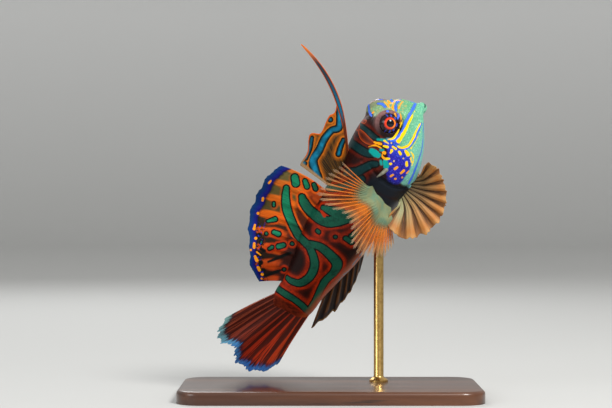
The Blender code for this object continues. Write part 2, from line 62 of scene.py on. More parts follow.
# The body: a spine from the snout to the root of the tail fin, and the sections along it.
BODY_LENGTH = 49.0
SNOUT = np.array((17.4, -8.0, 57.5))
TAIL_ROOT = np.array((-7.4, 7.5, 18.7))
HEAD_YAW = math.radians(21)
TAIL_YAW = math.radians(16)
ROLL = [(0, 26), (16, 25), (30, 21), (49, 17)]
SECTIONS = (  # station, back above the spine, belly below it, half width
    (0.0, 1.6, 0.6, 1.7),
    (1.2, 3.9, 1.4, 3.0),
    (2.6, 5.7, 2.4, 4.2),
    (5.0, 7.6, 4.0, 5.6),
    (8.4, 8.4, 5.75, 6.7),
    (12.5, 8.2, 7.1, 7.1),
    (17.5, 7.4, 7.1, 6.8),
    (22.5, 7.2, 7.0, 6.2),
    (29.0, 7.3, 7.0, 5.4),
    (35.0, 6.6, 6.8, 4.4),
    (41.0, 5.2, 5.7, 3.4),
    (45.6, 4.5, 4.9, 2.5),
    (49.0, 4.4, 4.7, 1.9),
    (50.2, 4.2, 4.5, 0.95),
    (51.6, 4.1, 4.4, 0.3),
)
BACK = [(s, back) for s, back, _, _ in SECTIONS]
BELLY = [(s, belly) for s, _, belly, _ in SECTIONS]
WIDTH = [(s, width) for s, _, _, width in SECTIONS]

# The skin's mesh, and the shapes of the head in station, height and reach.
SKIN_AROUND = 290
SKIN_ALONG = 340
SNOUT_HUB = 2.4  # station that the snout's rows fan out from
RINGS = [(0.13, SNOUT_HUB), (0.42, 14.0), (0.76, 33.0), (0.985, 51.6)]  # share of the rings, station
EYE_AT = np.array((4.8, 5.5, 3.1))
EYE_RADIUS = 2.0
EYE_GAZE = np.array((-0.45, 0.20, 0.86))  # back, up, outward
EYE_GAZE = EYE_GAZE / np.linalg.norm(EYE_GAZE)
ORBIT_RADIUS = 2.75
ORBIT_RIM = 0.95
FOREHEAD = ((3.2, 2.2, 0.0), (3.2, 3.4, 3.8))
LIPS = ((0.1, -0.4, 0.0), (1.2, 1.1, 1.15))
MOUTH_LINE = ((-1.15, -0.55, 0.0), (0.70, 0.10, 0.95))
NOSTRIL = (1.75, 5.0, 2.05)
NOSTRIL_TUBE = 0.22  # radius; the hole in it is half as wide
NOSTRIL_HOLE = 0.17  # radius of the painted shade in the nostril's hole
GILL_PORE = (13.6, 6.6, 4.4)
GILL_PORE_RADIUS = 0.45
GILL_EDGE = 14.9  # station of the gill cover's edge at its middle
GILL_EDGE_MIDDLE = -0.8  # height of that middle
GILL_GROOVE = 0.42  # depth
CHEEK_SWELL = 0.32
SNOUT_FLAT = 0.15  # how far the snout's flat front is ahead of station 0
EYE_GAP = 0.03  # between the eyeball and its orbit
CORNEA_BULGE = 0.17
CORNEA_TURN = 0.62  # radians from the eye's axis to the cornea's foot
LID_FOLD = 0.035  # height of the folds round the eye
LID_FOLD_SPACING = 0.36
HEAD_END = 17.0  # station behind which the body is plain
FACE_END = 16.5  # station of the last face colours
FAR = 9.0  # stands for outside the face, in mm
SIDES = {1: "right", -1: "left"}


def linear(colour):
    """The four values that Blender takes for a screen colour, or for a grey given as a share of 1."""
    if isinstance(colour, float):
        return (colour, colour, colour, 1.0)
    shares = [c / 255 for c in colour]
    return (*(c / 12.92 if c <= 0.04045 else ((c + 0.055) / 1.055) ** 2.4 for c in shares), 1.0)


BLACK = (6, 12, 12)
EMERALD = (20, 86, 66)
EMERALD_LIT = (24, 138, 98)
DEEP_GREEN = (9, 50, 40)
DARK_TEAL = (7, 46, 49)
TEAL = (8, 104, 138)
TEAL_LIT = (22, 136, 176)
RED_BORDER = (170, 42, 6)
ORANGE_BORDER = (224, 92, 14)
RED_BROWN = (66, 17, 9)
DARK_BROWN = (30, 12, 10)
MAROON = (38, 11, 10)
FACE_GREEN = (94, 164, 118)
FACE_TURQUOISE = (116, 190, 162)
FACE_PALE = (118, 184, 190)
CROWN_OLIVE = (126, 156, 112)
LINE_BLUE = (64, 110, 236)
LINE_YELLOW = (252, 206, 8)
DOT_ORANGE = (248, 160, 16)
VIOLET = (42, 36, 168)
CHEEK_BLUE = (36, 84, 210)
NAVY = (16, 14, 34)
TURQUOISE = (2, 156, 150)
ORBIT_PINK = (128, 92, 90)
# The next colour is painted shade round the eye.
ORBIT_DARK = (30, 18, 20)
BELLY_ORANGE = (180, 84, 40)
BELLY_GREY = (90, 116, 130)


def unit(vectors):
    """Vectors scaled to length 1."""
    return vectors / np.linalg.norm(vectors, axis=-1, keepdims=True)


def along(keys, x):
    """Values at x of a smooth curve through keys, pairs of (x, value)."""
    xs, ys = np.array(keys, float).T
    slopes = np.diff(ys) / np.diff(xs)
    bends = np.concatenate([slopes[:1], (slopes[:-1] + slopes[1:]) / 2, slopes[-1:]])
    x = np.clip(np.asarray(x, float), xs[0], xs[-1])
    i = np.clip(np.searchsorted(xs, x) - 1, 0, len(slopes) - 1)
    width = xs[i + 1] - xs[i]
    t = (x - xs[i]) / width
    return (
        ys[i] * (1 + 2 * t) * (1 - t) ** 2
        + ys[i + 1] * t * t * (3 - 2 * t)
        + bends[i] * width * t * (1 - t) ** 2
        - bends[i + 1] * width * t * t * (1 - t)
    )


def rise(x, start, end):
    """0 below start and 1 above end, with a smooth change between."""
    t = np.clip((x - start) / (end - start), 0, 1)
    return t * t * (3 - 2 * t)


def between(ends, share):
    """Values from the first end to the second."""
    return ends[0] + (ends[1] - ends[0]) * share


def tilted(start, end, degrees):
    """Directions turned from start towards end."""
    angle = np.radians(degrees)[..., None]
    return start * np.cos(angle) + end * np.sin(angle)


def bezier(corners, t):
    """Points of a curve with four control points, and its directions there, at t from 0 to 1."""
    a, b, c, d = corners
    point = a * (1 - t) ** 3 + 3 * b * t * (1 - t) ** 2 + 3 * c * t * t * (1 - t) + d * t**3
    return point, (b - a) * (1 - t) ** 2 + 2 * (c - b) * t * (1 - t) + (d - c) * t * t


def spine_curve():
    """The four control points of the spine's curve."""
    run = SNOUT - TAIL_ROOT
    pitch = math.atan2(run[2], run[0])

    def forward(yaw):
        level = math.cos(yaw)
        return np.array((level * math.cos(pitch), -math.sin(yaw), level * math.sin(pitch)))

    third = BODY_LENGTH / 3
    return SNOUT, SNOUT - third * forward(HEAD_YAW), TAIL_ROOT + third * forward(TAIL_YAW), TAIL_ROOT


SPINE = spine_curve()


def spine(station):
    """The spine's points at stations, with the directions back, up and to the fish's right there."""
    station = np.asarray(station, float)
    t = np.clip(station / BODY_LENGTH, 0, 1)[..., None]
    point, back = bezier(SPINE, t)
    back = unit(back)
    point = point + back * (station[..., None] - t * BODY_LENGTH)
    level_up = unit(np.stack([back[..., 2], np.zeros_like(station), -back[..., 0]], -1))
    level_right = np.cross(level_up, back)
    roll = along(ROLL, station)
    return point, back, tilted(level_up, level_right, roll), tilted(level_right, -level_up, roll)


def place(station, height, reach):
    """Points from their stations, heights and reaches."""
    point, _, up, right = spine(station)
    height, reach = np.asarray(height, float), np.asarray(reach, float)
    return point + up * height[..., None] + right * reach[..., None]


def pixels_of(points):
    """The photo's pixels at which points are seen."""
    depth = points[:, 1] - CAMERA_AT[1]
    x = PHOTO_SIZE[0] / 2 + (points[:, 0] - CAMERA_AT[0]) * FOCUS / depth
    y = PHOTO_SIZE[1] / 2 - (points[:, 2] - CAMERA_AT[2]) * FOCUS / depth
    return np.stack([x, y], -1)


def join_smooth(a, b, width):
    """The signed distance from two shapes joined with a fillet of a width."""
    overlap = np.maximum(width - np.abs(a - b), 0) / width
    return np.minimum(a, b) - overlap * overlap * width / 4


def cut_smooth(a, b, width):
    """The signed distance from shape a with shape b cut away and the edge rounded by a width."""
    return -join_smooth(-a, b, width)


def from_ellipsoid(p, shape):
    """About how far points are outside an ellipsoid, given as its centre and its radii."""
    centre, radii = np.array(shape)
    scaled = (p - centre) / radii
    near = np.linalg.norm(scaled, axis=-1)
    return near * (near - 1) / np.maximum(np.linalg.norm(scaled / radii, axis=-1), 1e-6)


def half_height(station, height):
    """The back's height where height is above 0, and the belly's depth elsewhere."""
    return np.where(height > 0, along(BACK, station), along(BELLY, station))


def underside(station, reach):
    """The height of the belly's surface."""
    share = np.minimum(np.abs(reach) / along(WIDTH, station), 0.98)
    return -along(BELLY, station) * np.sqrt(1 - share * share)


def from_body(station, height, reach):
    """About how far points are outside the plain body."""
    radial = np.maximum(np.hypot(height, reach), 1e-6)
    round_reach = np.hypot(height / half_height(station, height), reach / along(WIDTH, station))
    return radial - radial / np.maximum(round_reach, 1e-6)


def bell(x, middle, width):
    """1 at a middle, falling off to both sides over a width."""
    return np.exp(-(((x - middle) / width) ** 2))


def from_point(p, centre):
    """How far points are from a centre."""
    return np.linalg.norm(p - np.array(centre), axis=-1)


def from_head(station, height, reach):
    """About how far points are outside the head, with its orbits, lips, nostrils and gill covers."""
    reach = np.abs(reach)
    p = np.stack([station, height, reach], -1)
    shape = from_body(station, height, reach)
    shape = cut_smooth(shape, station + SNOUT_FLAT, 0.9)
    swell = CHEEK_SWELL * bell(station, 11.2, 2.6) * bell(height, -1.2, 3.6)
    below = height - GILL_EDGE_MIDDLE
    edge = GILL_EDGE - 0.045 * below**2
    groove = GILL_GROOVE * bell(station, edge, 0.38) * rise(-np.abs(below), -6.2, -4.6)
    shape = shape + (groove - swell) * rise(reach, 1.5, 4.0)
    shape = join_smooth(shape, from_ellipsoid(p, FOREHEAD), 1.0)
    ahead, off_axis, radius = from_eye(p)
    off_axis = np.linalg.norm(off_axis, axis=-1)
    shape = join_smooth(shape, radius - ORBIT_RADIUS, 1.2)
    window = np.maximum(ORBIT_RIM - ahead, off_axis - ORBIT_RADIUS)
    shape = cut_smooth(shape, window, 0.9)
    folds = LID_FOLD * np.cos(math.tau * (off_axis - 1.9) / LID_FOLD_SPACING)
    folds = folds * rise(-off_axis, -2.7, -2.2)
    shape = shape + folds * rise(ahead, 0.0, 0.6)
    shape = cut_smooth(shape, radius - EYE_RADIUS - EYE_GAP, 0.12)
    shape = join_smooth(shape, from_ellipsoid(p, LIPS), 0.5)
    shape = cut_smooth(shape, from_ellipsoid(p, MOUTH_LINE), 0.16)
    shape = join_smooth(shape, from_point(p, NOSTRIL) - NOSTRIL_TUBE, 0.35)
    shape = cut_smooth(shape, from_point(p, NOSTRIL) - NOSTRIL_TUBE / 2, 0.06)
    return cut_smooth(shape, from_point(p, GILL_PORE) - GILL_PORE_RADIUS, 0.3)


def from_eye(p):
    """How far places are ahead of an eye's centre, their offsets from its axis, and their distances."""
    local = p - EYE_AT
    ahead = local @ EYE_GAZE
    return ahead, local - ahead[..., None] * EYE_GAZE, np.linalg.norm(local, axis=-1)


def head_surface(station, ahead, up, out, size):
    """How far the head's surface is from the spine along rays, searched from outside inwards."""
    def outside(t):
        return from_head(station + ahead * t, up * t, out * t)

    reach, result = size + 3.0, size * 0.5
    value, found = outside(reach), np.zeros(size.shape, bool)
    for _ in range(80):
        nearer = np.maximum(reach - 0.1, 0.05)
        inner = outside(nearer)
        hit = ~found & (inner <= 0)
        share = value / np.maximum(value - inner, 1e-9)
        result = np.where(hit, reach + (nearer - reach) * share, result)
        found |= hit
        reach, value = nearer, inner
    return result


def volume_of(mesh):
    """A closed mesh's volume, negative if its faces point inwards."""
    mesh.calc_loop_triangles()
    corners = np.empty(len(mesh.loop_triangles) * 3, np.int32)
    mesh.loop_triangles.foreach_get("vertices", corners)
    points = points_of(mesh)[corners.reshape(-1, 3)]
    return np.einsum("ij,ij->i", points[:, 0], np.cross(points[:, 1], points[:, 2])).sum() / 6


def points_of(mesh):
    """A mesh's points as an array."""
    flat = np.empty(len(mesh.vertices) * 3)
    mesh.vertices.foreach_get("co", flat)
    return flat.reshape(-1, 3)


def mould(name, bm, shape=None):
    """An object of a bmesh in mm. Its points are moved by shape, a function of their array."""
    mesh = bpy.data.meshes.new(name)
    bm.to_mesh(mesh)
    bm.free()
    raw = points_of(mesh)
    placed = shape(raw) if shape else raw
    mesh.vertices.foreach_set("co", (placed * MM).ravel())
    mesh.update()
    if volume_of(mesh) < 0:
        mesh.flip_normals()
    mesh.shade_smooth()
    obj = bpy.data.objects.new(name, mesh)
    bpy.context.scene.collection.objects.link(obj)
    return obj, raw, placed


def store(obj, **fields):
    """Stores values at each point of an object for its material to read."""
    for name, values in fields.items():
        attribute = obj.data.attributes.new(name, "FLOAT", "POINT")
        attribute.data.foreach_set("value", np.asarray(values, np.float32))


def mount(obj, slot, material, *nodes):
    """Gives a piece its material and body, and says which parts it stands for."""
    obj.data.materials.append(material)
    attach(obj, "root")
    if nodes:
        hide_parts(*nodes)
    return obj


def ball(around, steps):
    """A bmesh of a unit ball whose axis is +Z: a grid rolled up and closed at its poles."""
    bm = bmesh.new()
    bmesh.ops.create_grid(bm, x_segments=around, y_segments=steps, size=0.5)
    at = {}
    for vert in bm.verts:
        at[round((vert.co.x + 0.5) * around), round((vert.co.y + 0.5) * steps)] = vert
    merged = {}
    for (i, j), vert in at.items():
        turn, polar = math.tau * i / around, math.pi * j / steps
        vert.co = (math.sin(polar) * math.cos(turn), math.sin(polar) * math.sin(turn), math.cos(polar))
        kept = at[0, j] if i == around or j in (0, steps) else vert
        if kept is not vert:
            merged[vert] = kept
    bmesh.ops.weld_verts(bm, targetmap=merged)
    return bm


def turned(raw):
    """Where points of a ball are, from 0 at its top to 1 at its foot, and their turn round its axis."""
    return np.arccos(np.clip(raw[:, 2], -1, 1)) / math.pi, np.arctan2(raw[:, 1], raw[:, 0])


def heading(line, t, step):
    """The direction of a line at t, from its points a step before and a step after."""
    return unit(line(np.minimum(t + step, 1)) - line(np.maximum(t - step, 0)))


def spun(outline, steps):
    """A bmesh of an outline, pairs of radius and height, spun round the Z axis."""
    bm = bmesh.new()
    line = [bm.verts.new((radius, 0, height)) for radius, height in outline]
    edges = [bm.edges.new(pair) for pair in zip(line, line[1:])]
    bmesh.ops.spin(
        bm, geom=line + edges, axis=(0, 0, 1), cent=(0, 0, 0), angle=math.tau, steps=steps, use_merge=True
    )
    bmesh.ops.remove_doubles(bm, verts=bm.verts, dist=1e-4)
    bmesh.ops.recalc_face_normals(bm, faces=bm.faces)
    return bm


class Value:
    """A value or a colour of a material that differs from point to point."""

    def __init__(self, paint, socket):
        self.paint, self.socket = paint, socket

    def combined(self, operation, other):
        """This value and another one in a calculation."""
        return self.paint.node("ShaderNodeMath", "Value", {0: self, 1: other}, operation=operation)

    def __add__(self, other):
        return self.combined("ADD", other)

    def __sub__(self, other):
        return self.combined("SUBTRACT", other)

    def __mul__(self, other):
        return self.combined("MULTIPLY", other)

    def __abs__(self):
        return self.combined("ABSOLUTE", 0.0)

    def step(self, start, end):
        """0 where this value is below start and 1 above end, or the other way round if end is lower."""
        low, high = float(end < start), float(end > start)
        ends = {"From Min": min(start, end), "From Max": max(start, end), "To Min": low, "To Max": high}
        return self.paint.node(
            "ShaderNodeMapRange", "Result", {"Value": self, **ends}, interpolation_type="SMOOTHSTEP"
        )

    def ramp(self, *stops):
        """A colour that changes along stops, pairs of a value and a colour."""
        low, high = stops[0][0], stops[-1][0]
        ends = {"From Min": low, "From Max": high}
        share = self.paint.node("ShaderNodeMapRange", "Result", {"Value": self, **ends})
        colour = self.paint.node("ShaderNodeValToRGB", "Color", {"Fac": share})
        elements = colour.socket.node.color_ramp.elements
        for place_at, tone in stops[1:-1]:
            elements.new((place_at - low) / (high - low)).color = linear(tone)
        elements[0].color = linear(stops[0][1])
        elements[len(elements) - 1].color = linear(stops[-1][1])
        return colour


class Paint:
    """A material that is built up in layers of colour."""

    def __init__(self, name, roughness, coat=0.0, specular=0.5, subsurface=0.0, metallic=0.0):
        self.material = bpy.data.materials.new(name)
        self.material.use_nodes = True
        self.nodes = self.material.node_tree.nodes
        self.shader = self.nodes["Principled BSDF"].inputs
        self.shader["Roughness"].default_value = roughness
        self.shader["Metallic"].default_value = metallic
        self.shader["Coat Weight"].default_value = coat
        self.shader["Coat Roughness"].default_value = 0.12
        self.shader["Specular IOR Level"].default_value = specular
        self.shader["Subsurface Weight"].default_value = subsurface
        self.shader["Subsurface Radius"].default_value = (0.6, 0.25, 0.15)
        self.shader["Subsurface Scale"].default_value = 0.0008

    def feed(self, socket, value):
        """Links a value to a socket, or sets it there."""
        if isinstance(value, Value):
            self.material.node_tree.links.new(value.socket, socket)
        else:
            socket.default_value = linear(value) if socket.type == "RGBA" else value

    def node(self, kind, result, inputs, **settings):
        """Adds a node with its settings and inputs, and gives its result."""
        node = self.nodes.new(kind)
        for name, setting in settings.items():
            setattr(node, name, setting)
        for name, value in inputs.items():
            self.feed(node.inputs[name], value)
        return Value(self, node.outputs[result])

    def field(self, name):
        """A value stored at the piece's points."""
        return self.node("ShaderNodeAttribute", "Fac", {}, attribute_name=name)

    def coordinates(self):
        """The places of the piece's points in metres."""
        return self.node("ShaderNodeTexCoord", "Object", {})

    def lay(self, under, *layers):
        """Lays colours over another one in turn. A layer is a colour and a mask, 1 where it shows."""
        for over, mask in layers:
            inputs = {"Factor": mask, "A": under, "B": over}
            under = self.node("ShaderNodeMix", "Result", inputs, data_type="RGBA")
        return under

    def noise(self, scale, detail=3.0, vector=None):
        """A cloudy value from 0 to 1. Scale is in features per metre unless a vector is given."""
        inputs = {"Vector": vector or self.coordinates(), "Scale": scale, "Detail": detail}
        return self.node("ShaderNodeTexNoise", "Fac", inputs)

    def streaks(self, across, lengthwise):
        """A cloudy value drawn out along the rays of a fin."""
        inputs = {"X": self.field("u") * across, "Y": self.field("v") * lengthwise}
        return self.noise(1.0, 2.0, self.node("ShaderNodeCombineXYZ", "Vector", inputs))

    def bump(self, height, distance, strength):
        """Raises the surface by a height, in metres at full height."""
        inputs = {"Strength": strength, "Distance": distance, "Height": height}
        self.feed(self.shader["Normal"], self.node("ShaderNodeBump", "Normal", inputs))

    def finish(self, colour):
        """Sets the colour and gives the material."""
        self.feed(self.shader["Base Color"], colour)
        return self.material


def traced(line):
    """Close samples of a smooth line through x, y and half width, or the one spot it holds."""
    if len(line) == 1:
        return np.array(line, float)
    keys = list(enumerate(line))
    run = sum(math.dist(a[:2], b[:2]) for a, b in zip(line, line[1:]))
    t = np.linspace(0, len(line) - 1, max(8, int(run * 1.6)))
    return np.stack([along([(i, point[k]) for i, point in keys], t) for k in range(3)], -1)


def beyond(centres, halves, points, limit=4.0):
    """How far points are outside the nearest of many discs, and negative inside."""
    tree = KDTree(len(centres))
    for i, centre in enumerate(centres):
        tree.insert(Vector(centre), i)
    tree.balance()
    result = np.empty(len(points))
    for i, point in enumerate(points):
        _, nearest, distance = tree.find(point)
        result[i] = distance - halves[nearest]
    return np.clip(result, -limit, limit)


def inside_outline(corners, points):
    """How far points are outside a shape drawn on the photo, in mm, and negative inside."""
    seen = pixels_of(points)
    nearest = np.full(len(seen), 1e9)
    inside = np.zeros(len(seen), bool)
    for start, end in zip(corners, corners[1:] + corners[:1]):
        start, end = np.array(start, float), np.array(end, float)
        run = end - start
        share = np.clip((seen - start) @ run / (run @ run), 0, 1)
        nearest = np.minimum(nearest, np.linalg.norm(seen - start - share[:, None] * run, axis=1))
        crosses = (start[1] > seen[:, 1]) != (end[1] > seen[:, 1])
        level = start[0] + (seen[:, 1] - start[1]) * run[0] / (run[1] if run[1] else 1e-9)
        inside ^= crosses & (seen[:, 0] < level)
    return np.where(inside, -nearest, nearest) / PIXELS_PER_MM


def flat_field(lines, points):
    """How far points of a fin are outside lines of the photo, in mm."""
    samples = np.concatenate([traced(line) for line in lines])
    centres = np.concatenate([samples[:, :2], np.zeros((len(samples), 1))], 1)
    seen = pixels_of(points)
    seen = np.concatenate([seen, np.zeros((len(seen), 1))], 1)
    return beyond(centres, samples[:, 2], seen, 40.0) / PIXELS_PER_MM


class Skin:
    """The body's one skin, with the places on its surface."""

    def __init__(self):
        self.obj, _, self.points = mould("body_skin", ball(SKIN_AROUND, SKIN_ALONG), self.shape)
        mesh = self.obj.data
        faces = [tuple(p.vertices) for p in mesh.polygons]
        self.tree = BVHTree.FromPolygons(self.points.tolist(), faces)
        self.corner = np.array([p.vertices[0] for p in mesh.polygons])
        ends = np.empty(len(mesh.edges) * 2, np.int32)
        mesh.edges.foreach_get("vertices", ends)
        self.edges = ends.reshape(-1, 2)

    def shape(self, raw):
        """Moves the points of a unit ball to the skin. The ball's axis becomes the spine."""
        share, turn = turned(raw)
        station = along(RINGS, share)
        up = half_height(station, np.cos(turn)) * np.cos(turn)
        out = along(WIDTH, station) * np.sin(turn)
        length = np.hypot(up, out)
        fan = np.clip(share / RINGS[0][0], 0, 1) * math.pi / 2
        ahead, up, out = -np.cos(fan), up / length * np.sin(fan), out / length * np.sin(fan)
        head = station < HEAD_END
        length[head] = head_surface(station[head], ahead[head], up[head], out[head], length[head])
        length *= np.sqrt(np.clip((1 - share) / (1 - RINGS[-1][0]), 0, 1))
        self.station = station + ahead * length
        self.height, self.reach = up * length, out * length
        return place(self.station, self.height, self.reach)

    def lay(self, lines):
        """Samples of lines as points on the skin, with their half widths in mm."""
        centres, halves = [], []
        for x, y, half in np.concatenate([traced(line) for line in lines]):
            ray = Vector(((x - PHOTO_SIZE[0] / 2) / FOCUS, 1.0, (PHOTO_SIZE[1] / 2 - y) / FOCUS))
            hit, _, face, _ = self.tree.ray_cast(Vector(CAMERA_AT), ray.normalized())
            if hit is None:
                continue
            centres.append(np.array(hit))
            halves.append(half / PIXELS_PER_MM)
            near = self.corner[face]
            if self.reach[near] > 0.4:
                _, back, up, right = spine(self.station[near])
                offset = np.array(hit) - self.points[near]
                mirrored = (
                    self.station[near] + offset @ back,
                    self.height[near] + offset @ up,
                    -self.reach[near] - offset @ right,
                )
                centres.append(place(*mirrored))
                halves.append(half / PIXELS_PER_MM)
        return np.array(centres), np.array(halves)

    def mark(self, name, lines):
        """Stores how far each point of the skin is outside lines of the photo, in mm."""
        values = beyond(*self.lay(lines), self.points)
        share = rise(values, 0.3, 0.6)
        store(self.obj, **{name: values * (1 - share) + self.softened(values) * share})

    def softened(self, values):
        """Values at the points, evened out with those of their neighbours."""
        a, b = self.edges.T
        count = np.bincount(a, minlength=len(values)) + np.bincount(b, minlength=len(values))
        for _ in range(10):
            total = np.bincount(a, values[b], len(values)) + np.bincount(b, values[a], len(values))
            values = (values + total / count) / 2
        return values


# Markings of the body: the green bands, and the red islands inside them.
STRIPE_A = [(286.3, 188, 2.6), (285.7, 196, 3.4), (286.7, 208, 4.1), (291.3, 221, 3.9), (298.4, 235, 3.9),
            (306, 243.4, 4.2)]
STRIPE_B = [(302, 197, 3.0), (303.8, 202, 4.2), (309.1, 209.6, 4.4), (318, 217.2, 5.4), (327, 221.8, 5.0),
            (336, 220.5, 6.0), (348, 217, 6.0), (360, 214, 5.5), (371, 212, 5.0)]
DORSAL_OVALS = ([(294.8, 177.4, 3.4), (295.8, 183, 3.8)], [(305, 181, 2.0), (307, 186.4, 2.4)],
                [(314, 184.6, 1.8), (315.6, 188.8, 2.0)])
DIM_DOT = [(291.8, 243.6, 1.4), (292.4, 243.8, 1.4)]
BODY_BANDS = (
    STRIPE_A,
    [(306, 243, 4.0), (310, 248.5, 3.8), (313.8, 258.3, 3.9), (314.2, 267.4, 4.0), (309.6, 277, 4.0),
     (300.4, 283, 3.8), (291.6, 281.2, 3.0), (287, 277.8, 2.2)],
    [(307, 244, 3.6), (314.7, 245, 3.6), (322.4, 248.3, 4.3), (332, 256.8, 4.7), (337.2, 264, 5.0),
     (334.4, 272, 4.8), (325.6, 280.8, 4.2), (320.4, 290, 3.7), (316.2, 299, 3.6), (310.4, 308.6, 3.2),
     (309.4, 315.4, 1.6)],
    [(277.6, 288.8, 2.8), (285.8, 294.5, 3.3), (294.6, 299.8, 3.1), (302.6, 306.2, 3.2),
     (308, 312, 3.0)],
    STRIPE_B,
    [(322.6, 207.6, 2.2), (330, 210.6, 4.0), (340, 214, 6.4)],
    *DORSAL_OVALS,
    [(319.5, 179, 2.6), (323, 184.5, 2.6), (330, 188, 2.8), (340, 187.5, 3.2), (352, 183, 3.2),
     (362, 179, 3.2)],
    [(356, 123.5, 2.4), (363, 128, 2.4), (370, 133.6, 2.6), (377, 138.6, 2.2)],
    [(344, 140, 2.4), (351.5, 143.6, 3.6), (361.8, 150.4, 3.8), (368.5, 153.4, 3.4), (374, 153.5, 3.0)],
    [(343, 139, 2.0), (340.5, 147, 2.2), (338.5, 154, 2.2), (337, 163, 2.4), (336, 172, 2.4)],
    [(346, 172.5, 3.6), (356, 172, 4.2), (363, 168.7, 3.6), (371, 164.8, 3.2), (376, 164, 2.6)],
    [(352, 236, 3.0), (362, 229, 3.2), (374, 231, 3.2), (386, 226, 3.0), (396, 214, 3.0)],
    [(317.4, 231, 1.9), (318.6, 231.8, 2.0)],
    [(335.4, 237, 1.7)],
    [(346, 238.3, 2.6), (352, 243, 2.0)],
    DIM_DOT,
)
RED_ISLANDS = (
    [(321.6, 211.6, 1.7), (324.4, 215.4, 2.3)],
)
BELLY_DASHES = (
    [(367, 246, 1.0), (360, 255.5, 1.3)],
    [(357.5, 258.5, 0.9), (353, 264.5, 1.3)],
    [(350.5, 269.5, 1.0), (344, 274.5, 1.6)],
    [(342, 277, 1.0), (337.5, 283, 1.2)],
    [(334, 287, 0.8), (330, 293, 0.9)],
)

# Markings of the head.
FACE_OUTLINE = (
    (330, 108), (366, 111.5), (373, 114.5), (381, 120), (385, 130), (387, 139), (390, 146), (396, 160),
    (400, 184), (412, 190), (470, 190), (470, 60), (330, 60),
)
BLUE_LINES = (
    [(416.8, 101, 1.3), (411.3, 111.8, 1.4), (406.3, 120.6, 1.4), (403.3, 128, 1.3), (400.3, 134, 1.4),
     (395.5, 139.2, 1.7), (391, 140.6, 1.4)],
    [(421, 123.7, 0.9), (417.9, 132, 0.9), (415, 138.8, 1.0), (410.3, 145.5, 1.1), (404, 149.7, 1.2)],
    [(400.3, 98.9, 1.2), (396.9, 103.3, 1.3), (395.8, 107.5, 1.2), (396.2, 111.2, 0.9)],
    [(397.6, 113.4, 0.8), (398.5, 116, 1.1), (397.8, 118.8, 1.0)],
    [(380, 99.4, 1.5)],
    [(377.8, 103.6, 0.9), (382, 103.9, 1.2), (385.4, 107.2, 1.1)],
    [(387.6, 110.8, 1.2)],
    [(389, 114.2, 0.9)],
    [(368.8, 102.5, 0.8), (369, 110.5, 1.3), (371.5, 116, 1.1)],
    [(423.2, 124, 0.8), (423, 138, 0.9), (421.6, 150, 1.0), (417.2, 164, 1.4), (413, 175, 1.8),
     (409, 183, 1.6)],
)
YELLOW_LINES = (
    [(414.6, 111.3, 0.5), (409.9, 120.6, 1.0), (406.4, 128, 1.4), (402.4, 135.5, 1.7),
     (398.6, 141.2, 2.2)],
    [(397.8, 146.4, 0.9), (402, 147.9, 1.2), (408.5, 145.3, 1.3), (412.8, 139, 1.2), (416.2, 131, 1.0),
     (420.3, 123.5, 0.6)],
    [(402.4, 120.5, 0.4), (400.2, 127, 0.5), (396.8, 133.5, 0.8), (393, 138.3, 1.1), (388, 139.6, 0.6)],
    [(420, 132, 0.4), (415.8, 141.5, 0.5), (411, 148.3, 0.7)],
    [(405.4, 150.9, 1.3), (408.4, 154.4, 2.2)],
    [(410.8, 152.2, 0.6), (413.4, 156, 0.9), (413.2, 161.5, 0.8), (411.8, 165.5, 0.5)],
    [(384.4, 140.8, 0.9), (388.4, 143.4, 1.0)],
    [(391.4, 143.1, 1.1)],
    [(383.4, 146.2, 1.0), (387.6, 147, 1.2)],
    [(392.8, 146.5, 1.1), (395.7, 148.6, 1.1)],
    [(391.7, 150.6, 1.4), (390.5, 152.8, 1.0)],
    [(399.4, 152, 1.3), (400.7, 154, 1.3)],
    [(403.3, 158.4, 0.9)],
    [(394, 160.7, 1.0)],
    [(390.6, 164, 1.2)],
    [(406.7, 162.4, 1.6), (407, 165.4, 1.5)],
    [(410.7, 158.2, 0.9), (411.3, 161.6, 1.0)],
    [(387, 158.8, 1.3), (389.4, 158.6, 1.1)],
)
ORANGE_LINES = (
    [(396.2, 99.6, 0.8), (393.4, 103.5, 1.1), (392.6, 108.5, 1.1), (394.8, 113.5, 0.9),
     (396, 116.5, 0.6)],
    [(403, 101.3, 0.7), (399.6, 105.8, 1.0), (398.3, 110.8, 0.7)],
    [(400.2, 113.4, 0.6), (401, 118, 0.6), (400, 123, 0.5)],
    [(384, 101.3, 0.6), (387.3, 104.6, 0.9), (389.5, 108, 0.7)],
    [(376.3, 99.5, 0.8)],
    [(373, 112.6, 1.3)],
    [(383.6, 152.9, 1.8), (384.6, 153, 1.8)],
    [(382.2, 154.6, 0.9), (382.4, 157, 1.0), (385, 158.6, 1.1)],
    [(395, 168.8, 1.4), (397.4, 167.3, 1.4)],
    [(401, 173.2, 1.2), (403.8, 170.7, 1.4)],
    [(406.8, 173.2, 1.1), (408.6, 171.2, 1.2)],
    [(390.8, 176.3, 1.3), (393, 174.9, 1.3)],
    [(395.6, 178.8, 1.2)],
    [(402.2, 177.6, 1.1)],
    [(374.5, 142.2, 1.2), (381, 144.2, 1.4)],
    [(369, 146.6, 0.6), (375, 145.3, 0.8), (381.5, 148, 0.8)],
)
NAPE_RED = (
    [(362, 121, 1.8), (365, 121.8, 2.2)],
    [(359.5, 131.5, 2.4), (362.5, 135.8, 3.8), (367.5, 140.4, 3.4), (373.5, 143.8, 1.8)],
)
CHEEK = (
    [(388, 141.5, 3.0), (397, 142, 3.6)],
    [(386, 143, 3.0), (391, 146.5, 5.5), (396, 153, 9.5), (399, 161, 13.0), (398, 170, 13.0),
     (396, 178, 9.0)],
)
